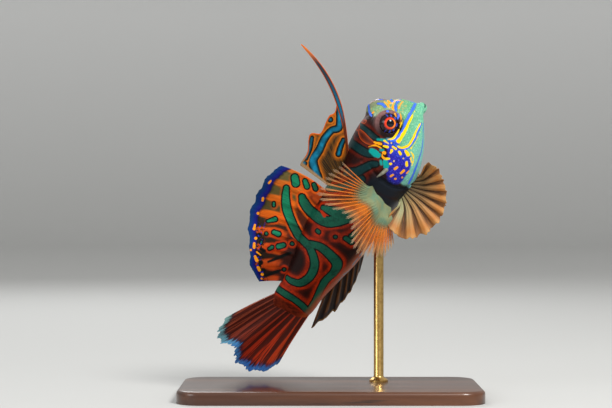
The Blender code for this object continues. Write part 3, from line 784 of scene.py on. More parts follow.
TURQUOISE_PATCHES = (
    [(371.5, 151, 3.0), (376, 153.6, 4.0), (378, 155, 3.2)],
    [(380.5, 149.8, 1.4), (383, 150.3, 1.5)],
    [(384.8, 162, 3.2), (386, 166, 3.2)],
    [(380.8, 161, 1.4), (381.4, 164, 1.6)],
    [(377.5, 139.5, 1.2), (383, 139.9, 1.6), (387, 140.4, 1.2)],
)
SHADE = (
    [(366, 186, 5.0), (378, 184, 8.0), (390, 191, 8.5), (403, 193, 8.0), (396, 206, 7.0),
     (380, 200, 7.0)],
)


# The lines that are stored on the skin, by the names of their values.
MARKINGS = {
    "band": BODY_BANDS,
    "island": RED_ISLANDS,
    "dash": BELLY_DASHES,
    "blue": BLUE_LINES,
    "yellow": YELLOW_LINES,
    "orange": ORANGE_LINES,
    "nape": NAPE_RED,
    "cheek": CHEEK,
    "patch": TURQUOISE_PATCHES,
    "shade": SHADE,
}


def skin_paint():
    """The skin: green bands on red-brown, a turquoise face with blue and yellow lines, a violet cheek."""
    paint = Paint("wet_skin", roughness=0.38, specular=0.12, subsurface=0.03)
    cloud = paint.noise(420.0)
    fine = paint.noise(2600.0, 4.0)
    wobble = (fine - 0.5) * 0.14
    band = paint.field("band") + wobble
    # Painted shade on the nape behind the head: it darkens the green bands to dark teal, and darkens the
    # red borders and the ground there.
    nape = paint.field("nape_tone")
    patchy = cloud + (fine - 0.5) * 0.6
    green = paint.lay(DEEP_GREEN, (EMERALD, patchy.step(0.1, 0.62)), (DARK_TEAL, nape))
    faded = patchy.step(0.62, 0.35) * 0.55
    border = paint.lay(RED_BORDER, ((74, 20, 12), nape * 0.9), (RED_BROWN, faded))
    ground = paint.lay(RED_BROWN, (DARK_BROWN, band.step(0.9, 1.9)), (MAROON, nape))
    stalk = paint.lay((120, 42, 22), ((84, 28, 16), paint.noise(1300.0).step(0.4, 0.6)))
    ground = paint.lay(ground, (stalk, paint.field("stalk")))
    glow = band + (cloud - 0.5) * 1.2
    body = paint.lay(
        ground,
        (border, glow.step(1.25, 0.5)),
        (BLACK, band.step(0.3, 0.2)),
        (green, band.step(0.04, -0.12)),
        (RED_BORDER, paint.field("island").step(0.05, -0.15)),
    )
    red = paint.field("nape")
    body = paint.lay(body, (BLACK, red.step(0.3, 0.12)))
    blob = red.ramp(
        (-0.6, (70, 26, 14)), (-0.2, (120, 42, 16)), (0.0, (178, 70, 16)), (0.1, (160, 56, 14))
    )
    body = paint.lay(body, (blob, red.step(0.12, -0.02)))
    belly = paint.field("belly") * 0.75
    body = paint.lay(body, (BELLY_ORANGE, belly), (BELLY_GREY, paint.field("dash").step(0.08, -0.08)))
    face = (paint.field("face_tone") + (patchy - 0.5)).ramp(
        (0.0, CROWN_OLIVE), (1.0, FACE_GREEN), (2.0, FACE_TURQUOISE), (3.0, FACE_PALE)
    )
    fleck = paint.noise(3400.0, 2.0)
    face = paint.lay(
        face,
        ((168, 222, 178), fleck.step(0.54, 0.7) * 0.55),
        ((52, 140, 118), fleck.step(0.46, 0.3) * 0.5),
    )
    gold = paint.noise(1900.0, 2.0).step(0.56, 0.7) * paint.field("face_tone").step(1.6, 0.2)
    face = paint.lay(face, ((204, 168, 84), gold * 0.6))
    edge = paint.field("face") + (cloud - 0.5) * 1.4
    colour = paint.lay(body, (face, edge.step(0.3, -0.3)))
    orbit = paint.field("orbit")
    # The skin round the eye is pink, with painted shade that darkens it towards the back, the bottom and
    # the eyeball.
    lid = paint.lay(
        ORBIT_PINK, (ORBIT_DARK, paint.field("orbit_dark")), (RED_BROWN, patchy.step(0.45, 0.7) * 0.5)
    )
    colour = paint.lay(colour, (lid, orbit.step(2.95, 2.5)))
    # The cheek is blue at its front and violet across, its own colours, and turns navy towards its hind
    # edge as painted shade.
    tone = paint.field("cheek_tone")
    cheek = tone.ramp((0.0, CHEEK_BLUE), (1.0, VIOLET), (2.3, VIOLET), (3.2, NAVY))
    cheek = paint.lay(
        cheek,
        ((24, 20, 96), fleck.step(0.5, 0.64) * 0.75),
        ((84, 96, 226), fleck.step(0.42, 0.28) * 0.65),
    )
    colour = paint.lay(
        colour,
        (cheek, (paint.field("cheek") + wobble).step(0.25, -0.35)),
        ((14, 28, 38), paint.field("shade").step(0.8, -0.8) * 0.85),
        (TURQUOISE, (paint.field("patch") + wobble).step(0.15, -0.25)),
    )
    uneven = (paint.noise(950.0, 1.0) - 0.5) * 0.42
    blue = paint.field("blue") + uneven
    orange = paint.field("orange") + uneven
    yellow = paint.field("yellow") + uneven
    colour = paint.lay(
        colour,
        (NAVY, blue.step(0.16, 0.05) * 0.5),
        (LINE_BLUE, blue.step(0.07, -0.09)),
        (DOT_ORANGE, orange.step(0.07, -0.09)),
        (LINE_YELLOW, yellow.step(0.07, -0.09)),
        # Painted shade in the nostril's hole and along the mouth line.
        ((30, 58, 56), paint.field("pit").step(0.45, 0.15)),
    )
    paint.bump(fine, 0.00008, 0.45)
    return paint.finish(colour)


def make_skin():
    """The skin, with every marking stored on it."""
    skin = Skin()
    for name, lines in MARKINGS.items():
        skin.mark(name, lines)
    station, height, reach = skin.station, skin.height, np.abs(skin.reach)
    p = np.stack([station, height, reach], -1)
    face = inside_outline(FACE_OUTLINE, place(station, height, reach))
    face = np.where(skin.reach < 0, np.minimum(face, inside_outline(FACE_OUTLINE, skin.points)), face)
    ahead, off_axis, from_centre = from_eye(p)
    orbit = from_centre - 0.30 * rise(ahead, 0.2, 1.0)
    hole = np.where(from_point(p, NOSTRIL) < NOSTRIL_HOLE, 0.0, 1.0)
    store(
        skin.obj,
        face=np.where(station < FACE_END, face, FAR),
        orbit=orbit,
        # Painted shade round the eye, heavier towards the back, the bottom and the eyeball.
        orbit_dark=np.clip(0.62 + 0.26 * (off_axis[:, 0] - off_axis[:, 1]) + 0.5 * (2.3 - orbit), 0, 1),
        belly=rise(-height / along(BELLY, station), 0.50, 0.86) * rise(station, 17.0, 22.0),
        face_tone=(7 - height) / 4.2,
        # Painted shade on the nape, full from station 8 to 17, gone before station 4 and after station 25.
        nape_tone=rise(-station, -25.0, -17.0) * rise(station, 4.0, 8.0),
        # Blue at the cheek's front, then violet, then painted navy shade towards its hind edge.
        cheek_tone=0.2 + 0.34 * (station - 7.0),
        stalk=rise(station, 47.6, 49.4),
        # Painted shade in the nostril's hole and in the mouth line's slit.
        pit=np.minimum(hole, np.maximum(from_ellipsoid(p, MOUTH_LINE), 0) * 3),
    )
    mount(skin.obj, "skin", skin_paint(), "head", "trunk", "tail")


def eye_paint():
    """A black pupil in a bright ring, with blue marks on the dark iris."""
    paint = Paint("eye_gloss", roughness=0.14, coat=0.25, specular=0.25)
    radius = paint.field("off_axis")
    rough_radius = radius + (paint.noise(2500.0) - 0.5) * 0.12
    iris = rough_radius.ramp(
        (0.0, (2, 3, 8)), (0.7, (4, 5, 14)), (0.78, (238, 76, 30)), (1.0, (226, 50, 22)),
        (1.12, (150, 26, 26)), (1.22, (22, 14, 22)), (1.9, (34, 22, 24)),
    )
    warm = paint.field("low_side").step(0.1, 1.0) * radius.step(0.72, 0.84)
    warm = warm * radius.step(1.12, 0.98)
    iris = paint.lay(iris, ((255, 140, 30), warm))
    marks = paint.field("spokes").step(0.1, 0.5) * radius.step(1.22, 1.34)
    iris = paint.lay(iris, ((48, 66, 176), marks))
    return paint.finish(iris)


def make_eye(side, material):
    """An eyeball with a bulging cornea, 1 for the right eye and -1 for the left."""
    centre = place(EYE_AT[0], EYE_AT[1], EYE_AT[2] * side)
    _, back, up, right = spine(EYE_AT[0])
    gaze = unit(back * EYE_GAZE[0] + up * EYE_GAZE[1] + right * side * EYE_GAZE[2])
    level = unit(back - gaze * (back @ gaze))
    lift = np.cross(gaze, level) * -side

    def shape(raw):
        size = EYE_RADIUS + CORNEA_BULGE * bell(turned(raw)[0] * math.pi, 0.0, CORNEA_TURN)
        return centre + (raw[:, :1] * level + raw[:, 1:2] * lift + raw[:, 2:] * gaze) * size[:, None]

    eye, raw, _ = mould(f"eyeball_{SIDES[side]}", ball(160, 120), shape)
    angle = turned(raw)[1]
    off_axis = np.hypot(raw[:, 0], raw[:, 1]) * EYE_RADIUS
    store(
        eye,
        off_axis=np.where(raw[:, 2] > 0, off_axis, EYE_RADIUS),
        low_side=-np.sin(angle + 0.3),
        spokes=np.sin(angle * 9 + 1.5 * np.sin(angle * 2 + 1)) * rise(np.cos(angle + 2.0), -0.9, 0.3),
    )
    mount(eye, "eye", material, f"eye_{SIDES[side]}")


def sheet(name, columns, rows, middle, half):
    """A closed thin sheet. middle(u, v) is its middle and half(u, v) is half its thickness.

    u runs across the rays and v from the root to the margin, both from 0 to 1.
    """
    bm = bmesh.new()
    bmesh.ops.create_grid(bm, x_segments=columns, y_segments=rows, size=0.5)
    made = bmesh.ops.extrude_face_region(bm, geom=bm.faces[:], use_keep_orig=True)
    lifted = [g for g in made["geom"] if isinstance(g, bmesh.types.BMVert)]
    bmesh.ops.translate(bm, vec=(0, 0, 1), verts=lifted)
    bmesh.ops.recalc_face_normals(bm, faces=bm.faces)

    def shape(raw):
        u, v = np.clip(raw[:, :2].T + 0.5, 0, 1)
        across = heading(lambda x: middle(x, v), u, 1e-3)
        outward = heading(lambda x: middle(u, x), v, 1e-3)
        normal = unit(np.cross(across, outward))
        face = np.where(raw[:, 2] > 0.5, 1.0, -1.0)
        return middle(u, v) + normal * (face * half(u, v))[:, None]

    fin, raw, placed = mould(name, bm, shape)
    u, v = np.clip(raw[:, :2].T + 0.5, 0, 1)
    store(fin, u=u, v=v)
    return fin, u, v, placed


def off_ray(u, count):
    """How far places are from the nearest of the rays, as a share of the space between two."""
    phase = u * (count - 1)
    return phase - np.round(phase)


def rays(u, v, count, width, split=0.5, twigs=(0.0,), spread=0.3):
    """1 on a ray and 0 between rays. Each ray splits into twigs towards the margin."""
    opened = rise(v, split, 1.25)
    slim = width * (1 - 0.45 * opened)
    return np.max([bell(off_ray(u, count), twig * spread * opened, slim) for twig in twigs], axis=0)


def rayed(name, columns, rows, middle, ridges, web=0.15, ray=0.36, tip=0.05):
    """A fin's sheet with rays prouder than the web between them, and a thin margin.

    ridges(u, v) is 1 on a ray and 0 on the web. The last three are halves of thicknesses.
    """
    def half(u, v):
        body = web + (ray - web) * ridges(u, v)
        return tip + (body - tip) * np.minimum(1.0, 1.5 * (1.0 - v) + 0.08)

    return sheet(name, columns, rows, middle, half)


def scallop(u, count, depth, v=1.0):
    """How far the margin draws in between rays."""
    return 1 - depth * (0.5 - 0.5 * np.cos(math.tau * u * (count - 1))) * v


def jagged(u, count, seed, depth):
    """A margin worn uneven, the same at each run."""
    chance = np.random.default_rng(seed)
    keys = [(i / (count - 1), 1 - depth * chance.random()) for i in range(count)]
    return along(keys, u)


# The second dorsal fin.
DORSAL_SUNK = 1.0  # depth of both dorsal fins' roots in the back
SOFT_DORSAL_RAYS = 8
SOFT_DORSAL_ROOT = (24.6, 45.6)
SOFT_DORSAL_LEAN = [(0, -6), (0.3, 4), (0.5, 12), (0.8, 17), (1, 32)]
SOFT_DORSAL_LENGTH = [
    (0, 11.2), (0.05, 12.1), (0.14, 12.4), (0.3, 11.9), (0.5, 11.1), (0.7, 9.6), (0.86, 8.0), (1, 4.7),
]


def soft_dorsal_length(u, v):
    """The rays' length, drawn in between the rays."""
    return along(SOFT_DORSAL_LENGTH, u) * scallop(u, SOFT_DORSAL_RAYS, 0.03, v) * jagged(u, 60, 4, 0.015)


def soft_dorsal(u, v):
    """The second dorsal fin's web, with a shallow wave towards its margin."""
    station = between(SOFT_DORSAL_ROOT, u)
    _, back, up, _ = spine(station)
    wave = 0.9 * v * v * np.sin(math.tau * (1.5 * u + 0.1))
    root = place(station, along(BACK, station) - DORSAL_SUNK, wave)
    reach = (soft_dorsal_length(u, v) + DORSAL_SUNK) * v
    return root + tilted(up, back, along(SOFT_DORSAL_LEAN, u) - 12 * (1 - v)) * reach[:, None]


SOFT_DORSAL_GREEN = (
    STRIPE_A,
    *DORSAL_OVALS,
    STRIPE_B,
    DIM_DOT,
    [(273.8, 203, 1.2), (273.8, 205.4, 1.2)],
    [(267.8, 221.2, 1.2), (275, 219.2, 2.2)],
    [(274, 232.2, 2.0), (278.4, 234, 2.4)],
    [(266.3, 233.7, 1.4)],
    [(261.3, 241.4, 0.9), (261.3, 243, 1.0)],
    [(278.6, 246.4, 2.4), (283.4, 245.2, 2.2)],
    [(269.4, 248.8, 1.3), (272, 247.2, 1.6)],
    [(284.1, 269.4, 1.4)],
)
SOFT_DORSAL_BLACK = (
    [(268.4, 261.8, 1.1), (279.1, 257.4, 1.6), (290.2, 252.8, 1.4)],
    [(266, 275.8, 1.4), (275.8, 271.8, 1.5), (281.5, 270, 0.9)],
    [(259.5, 234.5, 2.0)],
    [(261, 249, 1.6), (264.4, 251, 1.6)],
    [(260.8, 262.5, 2.4)],
    [(263.8, 270, 1.8)],
)
SOFT_DORSAL_SPOTS = (
    [(269, 183, 1.1), (270.8, 180.8, 0.9)],
    [(263, 198.2, 1.2), (262.6, 200.4, 1.2)],
    [(258, 213.3, 1.4)],
    [(254.9, 224.8, 0.9), (254.1, 228.9, 1.4)],
    [(255.8, 238.3, 1.5)],
    [(254.2, 243.4, 1.2), (254.1, 247.4, 1.4)],
    [(250.8, 250, 1.1)],
    [(256.8, 252, 0.8), (260.6, 255, 0.6)],
    [(255, 256.4, 1.2), (256.8, 260.4, 1.7)],
    [(258, 267.4, 1.3), (259.4, 270, 1.5)],
    [(262.2, 274.4, 1.5)],
    [(261.6, 278.6, 1.0)],
)
RIM_WIDTH = [(0, 1.9), (0.3, 2.0), (0.6, 1.5), (0.85, 1.1), (1, 0.8)]


def soft_dorsal_paint():
    """Orange rays on dark panels, green spots, and a royal-blue margin."""
    paint = Paint("dorsal_web", roughness=0.5, specular=0.15, subsurface=0.03)
    u, v = paint.field("u"), paint.field("v")
    cloud = paint.noise(900.0)
    fine = paint.noise(2600.0)
    streak = paint.streaks(90.0, 2.5)
    wobble = (fine - 0.5) * 0.2
    orange = u.ramp(
        (0.0, (206, 112, 40)), (0.35, (224, 104, 14)), (0.6, (206, 76, 10)), (1.0, (176, 58, 12))
    )
    orange = paint.lay(orange, ((150, 64, 20), streak.step(0.55, 0.3) * 0.6))
    panel = u.ramp((0.0, (112, 100, 56)), (0.3, (92, 80, 40)), (0.5, (46, 32, 18)), (1.0, (30, 12, 10)))
    rowed = paint.field("glow") + (streak - 0.5) * 0.3
    colour = paint.lay(panel, (orange, rowed.step(0.25, 0.7)))
    inner = u.ramp(
        (0.0, (190, 80, 24)), (0.1, (160, 60, 14)), (0.26, (92, 38, 16)), (0.5, (58, 22, 14)),
        (1.0, (50, 16, 12)),
    )
    inner = paint.lay(inner, (DARK_BROWN, cloud.step(0.5, 0.7) * 0.5))
    shade = v + cloud * 0.2
    colour = paint.lay(colour, (inner, shade.step(0.56, 0.34)))
    band = paint.field("band") + wobble
    border = paint.lay(RED_BORDER, (ORANGE_BORDER, u.step(0.7, 0.35)))
    ringed = band.step(0.85, 0.35) * v.step(0.8, 0.5)
    colour = paint.lay(colour, (border, ringed), (BLACK, band.step(0.3, 0.18)))
    lit = paint.lay(EMERALD, (EMERALD_LIT, v.step(0.16, 0.5) * u.step(0.9, 0.4)))
    green = paint.lay(lit, (DEEP_GREEN, streak.step(0.45, 0.7) * 0.4), ((8, 84, 84), v.step(0.66, 0.8)))
    colour = paint.lay(colour, (green, band.step(0.04, -0.12)))
    rim = paint.field("rim") + (cloud - 0.5) * 0.3
    low = u.step(0.45, 0.62)
    blotch = fine.step(0.48, 0.56) * low * rim.step(2.6, 1.9)
    colour = paint.lay(colour, (BLACK, blotch), (BLACK, paint.field("black").step(0.16, -0.12)))
    specks = paint.noise(1700.0, 1.0).step(0.6, 0.66) * low * rim.step(2.1, 1.7)
    colour = paint.lay(colour, ((20, 40, 190), specks))
    blue = rim.ramp(
        (0.0, (4, 58, 104)), (0.35, (4, 44, 118)), (0.75, (20, 20, 122)), (1.0, (12, 10, 70))
    )
    colour = paint.lay(
        colour,
        (BLACK, rim.step(1.3, 1.0) * 0.6),
        (blue, rim.step(1.08, 0.92)),
        ((255, 160, 16), paint.field("spot").step(0.08, -0.08)),
    )
    paint.bump(streak, 0.00008, 0.4)
    return paint.finish(colour)


def make_soft_dorsal():
    """The second dorsal fin."""
    def ridges(u, v):
        return rays(u, v, SOFT_DORSAL_RAYS, 0.15, 0.35, (-1, 0, 1), 0.28)

    fin, u, v, placed = rayed("second_dorsal", 260, 110, soft_dorsal, ridges)
    store(
        fin,
        glow=bell(off_ray(u, SOFT_DORSAL_RAYS), 0.0, 0.40 - 0.22 * rise(v, 0.45, 0.95)),
        rim=(1 - v) * (soft_dorsal_length(u, v) + DORSAL_SUNK) / along(RIM_WIDTH, u),
        band=flat_field(SOFT_DORSAL_GREEN, placed),
        black=flat_field(SOFT_DORSAL_BLACK, placed),
        spot=flat_field(SOFT_DORSAL_SPOTS, placed),
    )
    mount(fin, "fin", soft_dorsal_paint(), "dorsal_fin_second")


# The first dorsal fin, with its long spine.
SPINE_COUNT = 4
SPINY_DORSAL_ROOT = (16.6, 23.2)
SPINE_PATH = np.array(((0.4, -1.0), (-5.2, 2.8), (-13.8, 8.6), (-17.8, 21.2)))
SPINE_WIDTHS = [(0, 0.34), (0.34, 0.36), (0.55, 0.50), (0.8, 0.42), (1, 0.16)]
SPINE_FLATNESS = 0.55
SPINE_WEBBED = 0.6
SPINY_LEAN = [(0.1, -51), (0.33, -45), (0.5, -36), (0.67, -30), (1, -9)]
SPINY_LENGTH = [(0.1, 14.3), (0.22, 12.3), (0.33, 12.0), (0.5, 10.4), (0.67, 10.9), (0.8, 9.0), (1, 7.5)]


def long_spine(t):
    """Points of the long first spine, from its root at 0 to its tip at 1."""
    t = np.asarray(t, float)[:, None]
    path, _ = bezier(SPINE_PATH, t)
    point, back, up, right = spine(SPINY_DORSAL_ROOT[0])
    height = along(BACK, SPINY_DORSAL_ROOT[0])
    return point + up * (height + path[:, 1:]) + back * path[:, :1] + right * 1.2 * t * t


def spiny_dorsal(u, v):
    """The first dorsal fin's web, which hangs from the long spine in front."""
    station = between(SPINY_DORSAL_ROOT, u)
    _, back, up, _ = spine(station)
    wave = 0.5 * v * np.sin(math.tau * 0.8 * u)
    root = place(station, along(BACK, station) - DORSAL_SUNK, wave)
    reach = (along(SPINY_LENGTH, u) * scallop(u, SPINE_COUNT, 0.06) + DORSAL_SUNK) * v
    straight = root + tilted(up, back, along(SPINY_LEAN, u)) * reach[:, None]
    share = (np.maximum(0.0, 1 - u / 0.3) ** 2)[:, None]
    return straight * (1 - share) + long_spine(SPINE_WEBBED * v) * share


SPINY_DORSAL_TEAL = (
    [(310, 54, 0.4), (318.6, 65, 0.6), (327, 78, 1.0), (332.6, 88, 1.3), (336, 98, 1.7), (338.6, 108, 2.2),
     (339.6, 117, 2.6), (338.8, 127.6, 3.0), (331.4, 130.6, 2.8), (324.4, 139, 3.1), (319.3, 150, 3.3),
     (312.9, 160, 4.0), (315.4, 170, 3.5), (318.6, 177.4, 3.0)],
    [(311.8, 138, 1.5), (309.6, 149, 1.7), (305.8, 158.6, 1.3)],
    [(304, 163.2, 2.4)],
    [(330.4, 119.6, 2.0)],
    [(343.4, 140, 1.6), (340.5, 147, 2.0), (338.5, 154, 2.2)],
)


def spiny_dorsal_paint():
    """A teal band with dark edges between orange borders, and brown panels."""
    paint = Paint("first_dorsal_web", roughness=0.5, specular=0.15, subsurface=0.03)
    cloud = paint.noise(700.0)
    fine = paint.noise(2400.0)
    streak = paint.streaks(60.0, 2.0)
    band = paint.field("band") + (fine - 0.5) * 0.16
    ground = paint.lay(
        (44, 34, 22),
        ((112, 74, 26), streak.step(0.42, 0.66)),
        ((176, 96, 20), band.step(1.2, 0.6) * 0.6),
    )
    colour = paint.lay(ground, ((196, 106, 18), band.step(0.62, 0.38)), (BLACK, band.step(0.26, 0.16)))
    teal = paint.lay(TEAL, (TEAL_LIT, cloud.step(0.4, 0.7)))
    teal = paint.lay((6, 70, 84), (teal, band.step(-0.1, -0.4)))
    colour = paint.lay(colour, (teal, band.step(0.02, -0.12)))
    rim = paint.lay((206, 92, 16), ((150, 122, 88), paint.field("u").step(0.8, 0.95)))
    colour = paint.lay(colour, (rim, paint.field("margin").step(0.36, 0.2)))
    paint.bump(fine, 0.00006, 0.4)
    return paint.finish(colour)


def blade_paint():
    """The long spine: orange edges and a blue-green core between dark lines."""
    paint = Paint("long_spine", roughness=0.5, specular=0.15, subsurface=0.03)
    core = paint.lay(TEAL, ((40, 56, 70), paint.field("v").step(0.5, 0.8)))
    core = paint.lay((104, 44, 18), (core, paint.field("v").step(0.36, 0.5)))
    across = abs(paint.field("across"))
    colour = paint.lay(
        (196, 84, 18),
        (BLACK, across.step(0.74, 0.62)),
        (core, across.step(0.52, 0.42)),
        ((216, 110, 34), paint.field("v").step(0.84, 0.97)),
    )
    paint.bump(paint.noise(2400.0), 0.00005, 0.4)
    return paint.finish(colour)


def make_spiny_dorsal():
    """The first dorsal fin: a web and the long blade in front of it."""
    def ridges(u, v):
        return rays(u, v, SPINE_COUNT, 0.09) * rise(u, 0.05, 0.2)

    fin, u, v, placed = rayed("first_dorsal", 200, 110, spiny_dorsal, ridges, web=0.14, ray=0.30)
    rear = (1 - u) * 6.0 + 9.0 * rise(-v, -0.25, 0.0)
    margin = np.minimum((1 - v) * along(SPINY_LENGTH, u), rear)
    store(fin, margin=np.minimum(margin, 3.0), band=flat_field(SPINY_DORSAL_TEAL, placed))
    mount(fin, "fin", spiny_dorsal_paint(), "dorsal_fin_first")

    _, back, _, _ = spine(SPINY_DORSAL_ROOT[0])

    def shape(raw):
        t, turn = turned(raw)
        ahead = heading(long_spine, t, 1e-3)
        side = unit(back - ahead * (ahead @ back)[:, None])
        width = along(SPINE_WIDTHS, t) * np.sqrt(np.clip(1 - (2 * t - 1) ** 32, 0, 1))
        groove = 1 - 0.25 * bell(np.cos(turn), 0.0, 0.3)
        thick = width * SPINE_FLATNESS * groove * np.sin(turn)
        point = long_spine(t) + side * (width * np.cos(turn))[:, None]
        return point + np.cross(ahead, side) * thick[:, None]

    blade, raw, _ = mould("long_dorsal_spine", ball(40, 300), shape)
    t, turn = turned(raw)
    store(blade, across=-np.cos(turn) * (np.abs(raw[:, 2]) < 1), v=t)
    mount(blade, "fin", blade_paint(), "dorsal_fin_first")


# The tail fin.
TAIL_RAYS = 10
TAIL_SUNK = 1.6
TAIL_FLARE = [(0, 36), (0.25, 28), (0.5, 22), (0.67, 16), (0.85, 5), (1, 1)]
TAIL_LENGTH = [
    (0, 11.6), (0.11, 14.5), (0.3, 16.8), (0.45, 15.5), (0.67, 18.2), (0.8, 17.6), (0.9, 16), (1, 13.2),
]


def tail_length(u, v):
    """The tail's length, with ragged ray tips."""
    return along(TAIL_LENGTH, u) * scallop(u, TAIL_RAYS, 0.02, v) * jagged(u, 90, 9, 0.045)


def tail_web(u, v):
    """The tail fin's web, cupped a little towards the fish's right, its root inside the body."""
    _, back, up, _ = spine(BODY_LENGTH)
    root_ends = 0.93 * along(BACK, BODY_LENGTH), -0.93 * along(BELLY, BODY_LENGTH)
    cup = 1.6 * v * v + 0.35 * v * np.sin(math.tau * 2.5 * u)
    reach = (tail_length(u, v) + TAIL_SUNK) * v - TAIL_SUNK
    root = place(BODY_LENGTH, between(root_ends, u), cup)
    return root + tilted(back, up, along(TAIL_FLARE, u)) * reach[:, None]


def tail_paint():
    """Maroon between bright red rays, dark streaks, and blue ray tips."""
    paint = Paint("tail_web", roughness=0.5, specular=0.15, subsurface=0.03)
    u, v = paint.field("u"), paint.field("v")
    streak = paint.streaks(74.0, 1.8)
    thin = paint.streaks(200.0, 3.5)
    web = v.ramp((0.0, (84, 30, 18)), (0.35, (66, 22, 14)), (1.0, (76, 22, 13)))
    bright = u.ramp(
        (0.0, (128, 58, 38)), (0.45, (120, 42, 26)), (0.7, (166, 42, 16)), (1.0, (170, 60, 24))
    )
    ridge = paint.field("ray") + (streak - 0.5) * 1.6 + (thin - 0.5) * 0.8
    colour = paint.lay(web, (bright, ridge.step(0.2, 1.0)))
    gaps = streak.step(0.46, 0.32) * v.step(0.15, 0.75)
    colour = paint.lay(colour, ((24, 12, 12), gaps * 0.85))
    margin = paint.field("margin") + (thin - 0.5) * 3.4
    tips = u.ramp(
        (0.0, (110, 146, 140)), (0.28, (104, 160, 176)), (0.45, (60, 120, 176)), (0.7, (44, 96, 170)),
        (1.0, (40, 84, 140)),
    )
    tips = paint.lay(tips, ((120, 176, 204), thin.step(0.5, 0.7) * 0.5))
    colour = paint.lay(
        colour, ((14, 24, 40), margin.step(2.3, 1.3) * 0.8), (tips, margin.step(1.35, 0.8))
    )
    paint.bump(thin, 0.0001, 0.5)
    return paint.finish(colour)


def make_tail():
    """The tail fin."""
    def ridges(u, v):
        return rays(u, v, TAIL_RAYS, 0.15, 0.2, (-1.5, -0.5, 0.5, 1.5), 0.26)

    fin, u, v, _ = rayed("tail_fin", 330, 130, tail_web, ridges, web=0.17, ray=0.27)
    store(fin, margin=(1 - v) * tail_length(u, v), ray=ridges(u, v))
    mount(fin, "fin", tail_paint(), "caudal_fin")


# The anal fin.
ANAL_RAYS = 7
ANAL_SUNK = 0.9
ANAL_ROOT = (30.5, 42.5)
ANAL_LEAN = [(0, 70), (0.67, 68), (0.83, 74), (1, 81)]
ANAL_LENGTH = [(0, 7.4), (0.33, 8.7), (0.67, 10.0), (1, 11.1)]


def anal_web(u, v):
    """The anal fin's web, folded back along the belly's midline."""
    station = between(ANAL_ROOT, u)
    _, back, up, _ = spine(station)
    swing = -2.0 * v + 0.4 * v * np.sin(math.tau * 1.2 * u)
    root = place(station, ANAL_SUNK * (1 - v) - along(BELLY, station), swing)
    reach = along(ANAL_LENGTH, u) * scallop(u, ANAL_RAYS, 0.06) * jagged(u, 30, 3, 0.04) * v
    return root + tilted(-up, back, along(ANAL_LEAN, u)) * reach[:, None]


def anal_paint():
    """Dark brown with an olive and orange edge and a pale tip."""
    paint = Paint("anal_web", roughness=0.5, specular=0.15, subsurface=0.03)
    streak = paint.streaks(40.0, 3.0)
    ridge = paint.field("ray") + streak
    colour = paint.lay((34, 22, 16), ((100, 62, 30), ridge.step(0.7, 1.4)))
    margin = paint.field("margin")
    colour = paint.lay(
        colour, ((18, 26, 36), margin.step(2.4, 1.6) * 0.6), ((130, 96, 48), margin.step(0.7, 0.25))
    )
    paint.bump(streak, 0.0001, 0.5)
    return paint.finish(colour)


def make_anal():
    """The anal fin."""
    def ridges(u, v):
        return rays(u, v, ANAL_RAYS, 0.18, 0.4, (-0.5, 0.5), 0.3)

    fin, u, v, _ = rayed("anal_web_fin", 150, 80, anal_web, ridges)
    store(fin, margin=(1 - v) * along(ANAL_LENGTH, u), ray=ridges(u, v))
    mount(fin, "fin", anal_paint(), "anal_fin")


# The pectoral fins: a fleshy lobe, fine rays, and a clear film between them.
PECTORAL_RAYS = 28
PECTORAL_SUNK = 0.9  # depth of the root in the flank
PECTORAL_STALK = 1.7  # how far the web stands off the flank
LOBE_SHARE = 0.46  # of the rays' length
FILM_HALF = 0.03  # half the film's thickness
PECTORAL_ROOT = ((17.6, 2.2), (20.2, -3.8))  # station and height of its two ends
PECTORAL_MIDDLE = 19.0
PECTORAL_POSE = {
    1: {
        "sweep": [
            (0, 112), (0.13, 94), (0.31, 74), (0.4, 76), (0.5, 63), (0.65, 13), (0.79, -12), (1, -36),
        ],
        "flare": [(0, 19), (0.3, 20), (0.4, 40), (0.54, 46), (0.66, 25), (0.8, 20), (1, 22)],
        "length": [
            (0, 12.5), (0.2, 14.0), (0.32, 14.6), (0.42, 13.2), (0.6, 11.6), (0.86, 10.2), (1, 7.2),
        ],
    },
    -1: {
        "sweep": [(0, 38), (0.4, 8), (0.7, -18), (1, -50)],
        "flare": [(0, 42), (0.5, 52), (1, 58)],
        "length": [(0, 11.5), (0.3, 13.4), (0.7, 12.4), (1, 8.2)],
    },
}


def posed(pose, u):
    """The sweep, flare and length of a fin's rays."""
    return (along(pose[name], u) for name in ("sweep", "flare", "length"))


def pectoral_web(side, u, v):
    """A pectoral fin's web, 1 for the right fin and -1 for the left."""
    station, height = (between(ends, u) for ends in zip(*PECTORAL_ROOT))
    _, back, up, right = spine(station)
    flank = along(WIDTH, station) * np.sqrt(1 - (height / half_height(station, height)) ** 2)
    stalk = PECTORAL_STALK * np.minimum(1.0, v / 0.2) - PECTORAL_SUNK
    sweep, flare, length = posed(PECTORAL_POSE[side], u)
    direction = tilted(tilted(back, up, sweep), right * side, flare)
    reach = length * jagged(u, PECTORAL_RAYS, 12, 0.05) * v
    return place(station, height, (flank + stalk) * side) + direction * reach[:, None]


def strands(name, count, sides, steps, line, radius, facing):
    """Many tapered rods as one mesh. line(k, t) gives their points and radius(t) their size."""
    one = bpy.data.meshes.new(f"{name}_rod")
    ball(sides, steps).to_mesh(one)
    bm = bmesh.new()
    for _ in range(count):
        bm.from_mesh(one)
    each = len(one.vertices)

    def shape(raw):
        k = np.arange(len(raw)) // each
        t, turn = turned(raw)
        ahead = heading(lambda x: line(k, x), t, 2e-3)
        side = unit(np.cross(ahead, facing))
        other = np.cross(ahead, side)
        size = (radius(t) * np.sqrt(np.clip(1 - (2 * t - 1) ** 24, 0, 1)))[:, None]
        return line(k, t) + (side * np.cos(turn)[:, None] + other * np.sin(turn)[:, None]) * size

    obj, raw, _ = mould(name, bm, shape)
    store(obj, v=turned(raw)[0])
    return obj


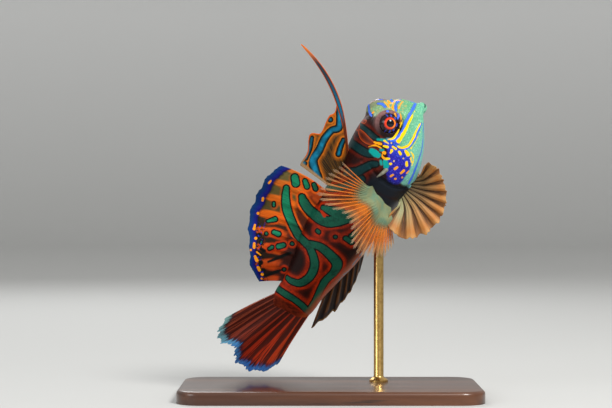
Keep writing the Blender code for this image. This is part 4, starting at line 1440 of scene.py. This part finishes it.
def ray_paint():
    """Orange rays that fade to pale tips."""
    paint = Paint("pectoral_ray", roughness=0.5, specular=0.2, subsurface=0.05)
    colour = paint.field("v").ramp(
        (0.0, (138, 138, 100)), (0.2, (158, 136, 86)), (0.36, (222, 124, 36)), (0.62, (210, 116, 40)),
        (0.84, (184, 132, 84)), (1.0, (178, 160, 136)),
    )
    tone = paint.noise(700.0)
    colour = paint.lay(colour, ((176, 84, 30), tone.step(0.5, 0.8) * 0.6))
    paint.bump(paint.noise(6000.0), 0.00004, 0.4)
    return paint.finish(colour)


def film_paint():
    """The clear film between the pectoral rays."""
    paint = Paint("clear_film", roughness=0.3, specular=0.3)
    colour = paint.field("v").ramp(
        (0.0, (140, 140, 100)), (0.3, (206, 118, 38)), (0.7, (196, 104, 36)), (1.0, (170, 130, 90))
    )
    clear = paint.field("v").ramp((0.0, 0.5), (0.4, 0.22), (0.8, 0.12), (1.0, 0.03))
    cloud = paint.noise(420.0).step(0.3, 0.7)
    held = paint.field("u").step(0.28, 0.45) * 2.2 + 0.5
    thick = held * (cloud + 0.5)
    paint.feed(paint.shader["Alpha"], clear * thick)
    paint.bump(paint.noise(1500.0), 0.00005, 0.3)
    return paint.finish(colour)


def lobe_paint():
    """The fleshy root of a pectoral fin: pale olive-green that thins out between the rays."""
    paint = Paint("pectoral_lobe", roughness=0.5, specular=0.2, subsurface=0.06)
    tone = paint.noise(500.0)
    pale = paint.lay((130, 138, 102), ((106, 138, 114), tone.step(0.4, 0.7)))
    streak = paint.streaks(90.0, 1.5)
    reach = paint.field("v") + (streak - 0.5) * 0.5
    colour = paint.lay(pale, ((196, 124, 56), reach.step(0.6, 1.05)))
    paint.feed(paint.shader["Alpha"], reach.step(1.0, 0.5))
    paint.bump(streak, 0.00008, 0.4)
    return paint.finish(colour)


def make_pectoral(side, ray_material, film_material, lobe_material):
    """A pectoral fin on one side."""
    name = SIDES[side]
    node = f"pectoral_fin_{name}"
    _, _, _, right = spine(PECTORAL_MIDDLE)

    def lobe_half(u, v):
        folds = 0.5 + 0.5 * np.cos(math.tau * u * (PECTORAL_RAYS - 1))
        return 0.06 + 0.75 * np.maximum(0.0, 1 - v / 0.9) ** 0.8 + 0.10 * folds * rise(v, 0.2, 0.6)

    def lobe(u, v):
        return pectoral_web(side, u, v * LOBE_SHARE)

    def film(u, v):
        return pectoral_web(side, u, 0.05 + v * 0.85)

    mount(sheet(f"pectoral_lobe_{name}", 220, 40, lobe, lobe_half)[0], "fin", lobe_material, node)
    film_sheet = sheet(f"pectoral_film_{name}", 190, 40, film, lambda u, v: np.full_like(u, FILM_HALF))
    mount(film_sheet[0], "fin", film_material, node)

    def line(k, t):
        ray, twig = k // 3, k % 3 - 1
        u = (ray + 0.3 * twig * rise(t, 0.45, 1.3)) / (PECTORAL_RAYS - 1)
        return pectoral_web(side, np.clip(u, 0, 1), 0.10 + 0.90 * t * np.where(twig == 0, 1.0, 0.97))

    rods = strands(
        f"pectoral_rays_{name}", PECTORAL_RAYS * 3, 8, 30, line, lambda t: 0.14 * (1 - 0.75 * t), right
    )
    mount(rods, "fin", ray_material, node)


# The pelvic fins, set under the throat, their webs pleated.
PELVIC_PLEATS = 11
PELVIC_SUNK = 0.8
PELVIC_DROP = 1.4  # how far the web hangs off the belly
PELVIC_ROOT = ((13.2, 3.3), (17.4, 4.2))  # station and reach of its two ends
PELVIC_POSE = {
    1: {
        "sweep": [(0, -203), (0.1, -182), (0.22, -156), (0.44, -107), (0.65, -66), (0.82, -22), (1, 42)],
        "flare": [(0, 18), (0.22, 34), (0.5, 41), (0.8, 42), (1, 36)],
        "length": [
            (0, 5.2), (0.06, 6.5), (0.12, 7.1), (0.22, 7.0), (0.5, 8.2), (0.78, 9.0), (0.9, 8.2), (1, 5.2),
        ],
    },
    -1: {
        "sweep": [(0, -104), (0.5, -78), (1, -44)],
        "flare": [(0, 30), (0.5, 32), (1, 30)],
        "length": [(0, 3.0), (0.22, 4.2), (0.5, 7.4), (0.78, 8.4), (1, 7.6)],
    },
}
PLEAT_DEPTH = 0.40


def pelvic_web(side, u, v):
    """A pelvic fin's web, 1 for the right fin and -1 for the left."""
    station, reach = (between(ends, u) for ends in zip(*PELVIC_ROOT))
    _, back, up, right = spine(station)
    drop = PELVIC_DROP * np.sin(np.minimum(1.0, v / 0.4) * math.pi / 2)
    root = place(station, underside(station, reach) + PELVIC_SUNK - drop, reach * side)
    sweep, flare, length = posed(PELVIC_POSE[side], u)
    in_plane, outward = tilted(back, up, sweep), right * side
    pleat = np.cos(math.tau * u * (PELVIC_PLEATS - 1)) * PLEAT_DEPTH * v**1.3
    length = length * scallop(u, PELVIC_PLEATS, 0.05) * jagged(u, 70, 21, 0.06) * v
    unpleated = root + tilted(in_plane, outward, flare) * length[:, None]
    return unpleated + tilted(outward, -in_plane, flare) * pleat[:, None]


def pelvic_paint():
    """Salmon and orange-brown ridges, dark brown painted shade in the valleys, and an olive root."""
    paint = Paint("pelvic_web", roughness=0.5, specular=0.2, subsurface=0.05)
    u, v = paint.field("u"), paint.field("v")
    streak = paint.streaks(110.0, 2.0)
    thin = paint.streaks(300.0, 3.0)
    ridge = v.ramp(
        (0.0, (112, 112, 80)), (0.25, (160, 128, 84)), (0.55, (176, 128, 78)), (0.85, (180, 116, 56)),
        (1.0, (186, 140, 86)),
    )
    # The valleys between the pleats are painted shade, dark brown near the root and lighter towards the
    # margin.
    valley = v.ramp(
        (0.0, (34, 30, 24)), (0.5, (52, 36, 26)), (0.8, (100, 64, 38)), (1.0, (140, 94, 54))
    )
    lit = paint.field("pleat") + (streak - 0.5) * 0.9
    colour = paint.lay(
        valley, (ridge, lit.step(0.15, 0.8)), ((196, 124, 60), thin.step(0.52, 0.72) * 0.5)
    )
    cream = u.step(0.72, 0.92) * v.step(0.95, 0.35)
    colour = paint.lay(colour, ((158, 160, 122), cream * lit.step(0.0, 0.9)))
    shade = u.step(0.66, 0.45) * v.step(0.75, 0.25)
    colour = paint.lay(colour, ((58, 38, 28), shade * 0.55))
    paint.bump(thin, 0.0001, 0.5)
    return paint.finish(colour)


def make_pelvic(side, material):
    """A pelvic fin on one side."""
    def waves(u, count):
        return 0.5 + 0.5 * np.cos(math.tau * u * (PELVIC_PLEATS - 1) * count)

    def web(u, v):
        return pelvic_web(side, u, v)

    def ridges(u, v):
        return waves(u, 4)

    fin, u, _, _ = rayed(f"pelvic_{SIDES[side]}", 400, 70, web, ridges, web=0.13, ray=0.22, tip=0.04)
    store(fin, pleat=waves(u, 1))
    mount(fin, "fin", material, f"pelvic_fin_{SIDES[side]}")


# The bony spine of a cheek: station, height and reach of its root, middle and tip.
CHEEK_SPINE = ((11.2, 0.9, 5.3), (12.9, 2.6, 7.3), (14.3, 3.4, 7.7))
CHEEK_SPINE_MIDDLE = 12.7


def cheek_spine_paint():
    """Pale grey bone."""
    paint = Paint("pale_bone", roughness=0.45, specular=0.3)
    colour = paint.lay((128, 128, 112), ((84, 80, 70), paint.noise(900.0).step(0.4, 0.7)))
    paint.bump(paint.noise(3000.0), 0.00005, 0.4)
    return paint.finish(colour)


def make_cheek_spine(side, material):
    """The bony spine at the hind corner of a cheek."""
    def line(k, t):
        station, height, reach = (
            along(list(zip((0, 0.5, 1), values)), t) for values in zip(*CHEEK_SPINE)
        )
        return place(station, height, reach * side)

    _, _, up, _ = spine(CHEEK_SPINE_MIDDLE)
    bone = strands(f"cheek_spine_{SIDES[side]}", 1, 24, 40, line, lambda t: 0.62 - 0.50 * t, up)
    mount(bone, "skin", material)


# The stand.
BASE_SIZE = (60.0, 30.0, 2.6)
BASE_CORNER = 5.0
BASE_EDGE = 0.8
ROD_RADIUS = 1.0
ROD_STATION = 25.5
ROD_REACH = -1.8


def round_off(bm, edges, radius, steps):
    """Rounds edges."""
    bmesh.ops.bevel(
        bm, geom=edges, affect="EDGES", offset=radius, segments=steps, profile=0.5, material=-1
    )


def wood_paint():
    """Dark varnished wood with its grain along the base."""
    paint = Paint("dark_wood", roughness=0.32, coat=0.35)
    inputs = {"Vector": paint.coordinates(), "Scale": (18.0, 260.0, 260.0)}
    lengthwise = paint.node("ShaderNodeMapping", "Vector", inputs)
    grain = paint.noise(1.0, 6.0, lengthwise)
    fine = paint.noise(4.0, 4.0, lengthwise)
    colour = grain.ramp((0.3, (44, 24, 16)), (0.5, (74, 42, 26)), (0.7, (100, 60, 36)))
    colour = paint.lay(colour, ((30, 16, 12), fine.step(0.6, 0.75)))
    paint.bump(fine, 0.00005, 0.3)
    return paint.finish(colour)


def brass_paint():
    """Brushed brass."""
    paint = Paint("brushed_brass", roughness=0.25, metallic=1.0)
    tone = paint.noise(1500.0)
    colour = paint.lay((222, 184, 112), ((190, 150, 86), tone.step(0.3, 0.8)))
    paint.bump(tone, 0.00002, 0.3)
    return paint.finish(colour)


def make_stand():
    """A flat wooden base and a brass rod with a collar, up to the belly."""
    thick = BASE_SIZE[2]
    bm = bmesh.new()
    bmesh.ops.create_cube(bm, size=1.0)
    bmesh.ops.scale(bm, vec=BASE_SIZE, verts=bm.verts)
    bmesh.ops.translate(bm, vec=(0, 0, thick / 2), verts=bm.verts)
    upright = [e for e in bm.edges if abs((e.verts[0].co - e.verts[1].co).z) > thick / 2]
    round_off(bm, upright, BASE_CORNER, 16)
    round_off(bm, [e for e in bm.edges if min(v.co.z for v in e.verts) > thick * 0.99], BASE_EDGE, 5)
    base, _, _ = mould("stand_foot", bm)
    base.data.set_sharp_from_angle(angle=math.radians(50))
    mount(base, "base", wood_paint(), "stand_base")

    x, y, top = place(ROD_STATION, underside(ROD_STATION, ROD_REACH), ROD_REACH)
    foot, top = thick - 1.6, top + 0.6
    collar = [(ROD_RADIUS, thick + 0.02), (1.9, thick + 0.02), (1.9, 3.0), (1.6, 3.3), (1.15, 3.5)]
    bm = spun([(0, foot), (ROD_RADIUS, foot), *collar, (ROD_RADIUS, 3.8), (ROD_RADIUS, top), (0, top)], 48)
    bmesh.ops.translate(bm, vec=(x, y, 0), verts=bm.verts)
    rod, _, _ = mould("stand_post", bm)
    rod.data.set_sharp_from_angle(angle=math.radians(40))
    mount(rod, "rod", brass_paint(), "stand_rod")


def make_stage():
    """A pale floor that sweeps up far away on every side."""
    turn = np.linspace(0, math.pi / 2, 13)
    sweep = zip(1200 + 400 * np.sin(turn), 400 - 400 * np.cos(turn))
    outline = [(0, 0), (400, 0), *sweep, (1600, 700)]
    floor, _, _ = mould("studio_floor", spun(outline, 96))
    paint = Paint("studio_floor", roughness=0.9, specular=0.1)
    height = paint.node("ShaderNodeSeparateXYZ", "Z", {"Vector": paint.coordinates()})
    pale = height.ramp((0.0, (196, 197, 196)), (0.25, (240, 241, 241)))
    floor.data.materials.append(paint.finish(paint.lay(pale, ((190, 192, 190), paint.noise(3.0) * 0.1))))


# The place that the lights point at, in metres.
LIT_AT = (0.0, 0.0, 0.045)


def make_light(name, place_at, size, power, colour):
    """A soft round light that points at the fish."""
    light = bpy.data.lights.new(name, "AREA")
    light.shape = "DISK"
    light.size = size
    light.energy = power
    light.color = colour
    obj = bpy.data.objects.new(name, light)
    obj.location = place_at
    obj.rotation_mode = "QUATERNION"
    obj.rotation_quaternion = (Vector(place_at) - Vector(LIT_AT)).to_track_quat("Z", "Y")
    bpy.context.scene.collection.objects.link(obj)


def make_studio():
    """The floor, soft lights, and the photo's camera."""
    make_stage()
    make_light("key_light", (0.20, -0.30, 0.34), 0.16, 2.2, (1.0, 0.98, 0.95))
    make_light("fill_light", (-0.36, -0.26, 0.20), 0.24, 0.6, (0.95, 0.98, 1.0))
    make_light("back_light", (-0.10, 0.34, 0.30), 0.22, 0.6, (1.0, 1.0, 1.0))
    world = bpy.data.worlds.new("studio_air")
    world.use_nodes = True
    air = world.node_tree.nodes["Background"].inputs
    air["Color"].default_value = (1.0, 0.99, 0.97, 1)
    air["Strength"].default_value = 0.56
    scene = bpy.context.scene
    scene.world = world
    scene.view_settings.view_transform = "Standard"
    camera = bpy.data.cameras.new("photo_camera")
    camera.lens = LENS
    camera.sensor_width = SENSOR
    camera.clip_start = 0.01
    scene.camera = bpy.data.objects.new("photo_camera", camera)
    scene.camera.location = Vector(CAMERA_AT) * MM
    scene.camera.rotation_euler = (math.pi / 2, 0, 0)
    scene.collection.objects.link(scene.camera)


def main():
    """Dresses the fish and its stand."""
    make_studio()
    make_skin()
    eye_material = eye_paint()
    bone_material = cheek_spine_paint()
    pelvic_material = pelvic_paint()
    pectoral_materials = ray_paint(), film_paint(), lobe_paint()
    for side in SIDES:
        make_eye(side, eye_material)
        make_cheek_spine(side, bone_material)
        make_pelvic(side, pelvic_material)
        make_pectoral(side, *pectoral_materials)
    make_spiny_dorsal()
    make_soft_dorsal()
    make_tail()
    make_anal()
    make_stand()


main()
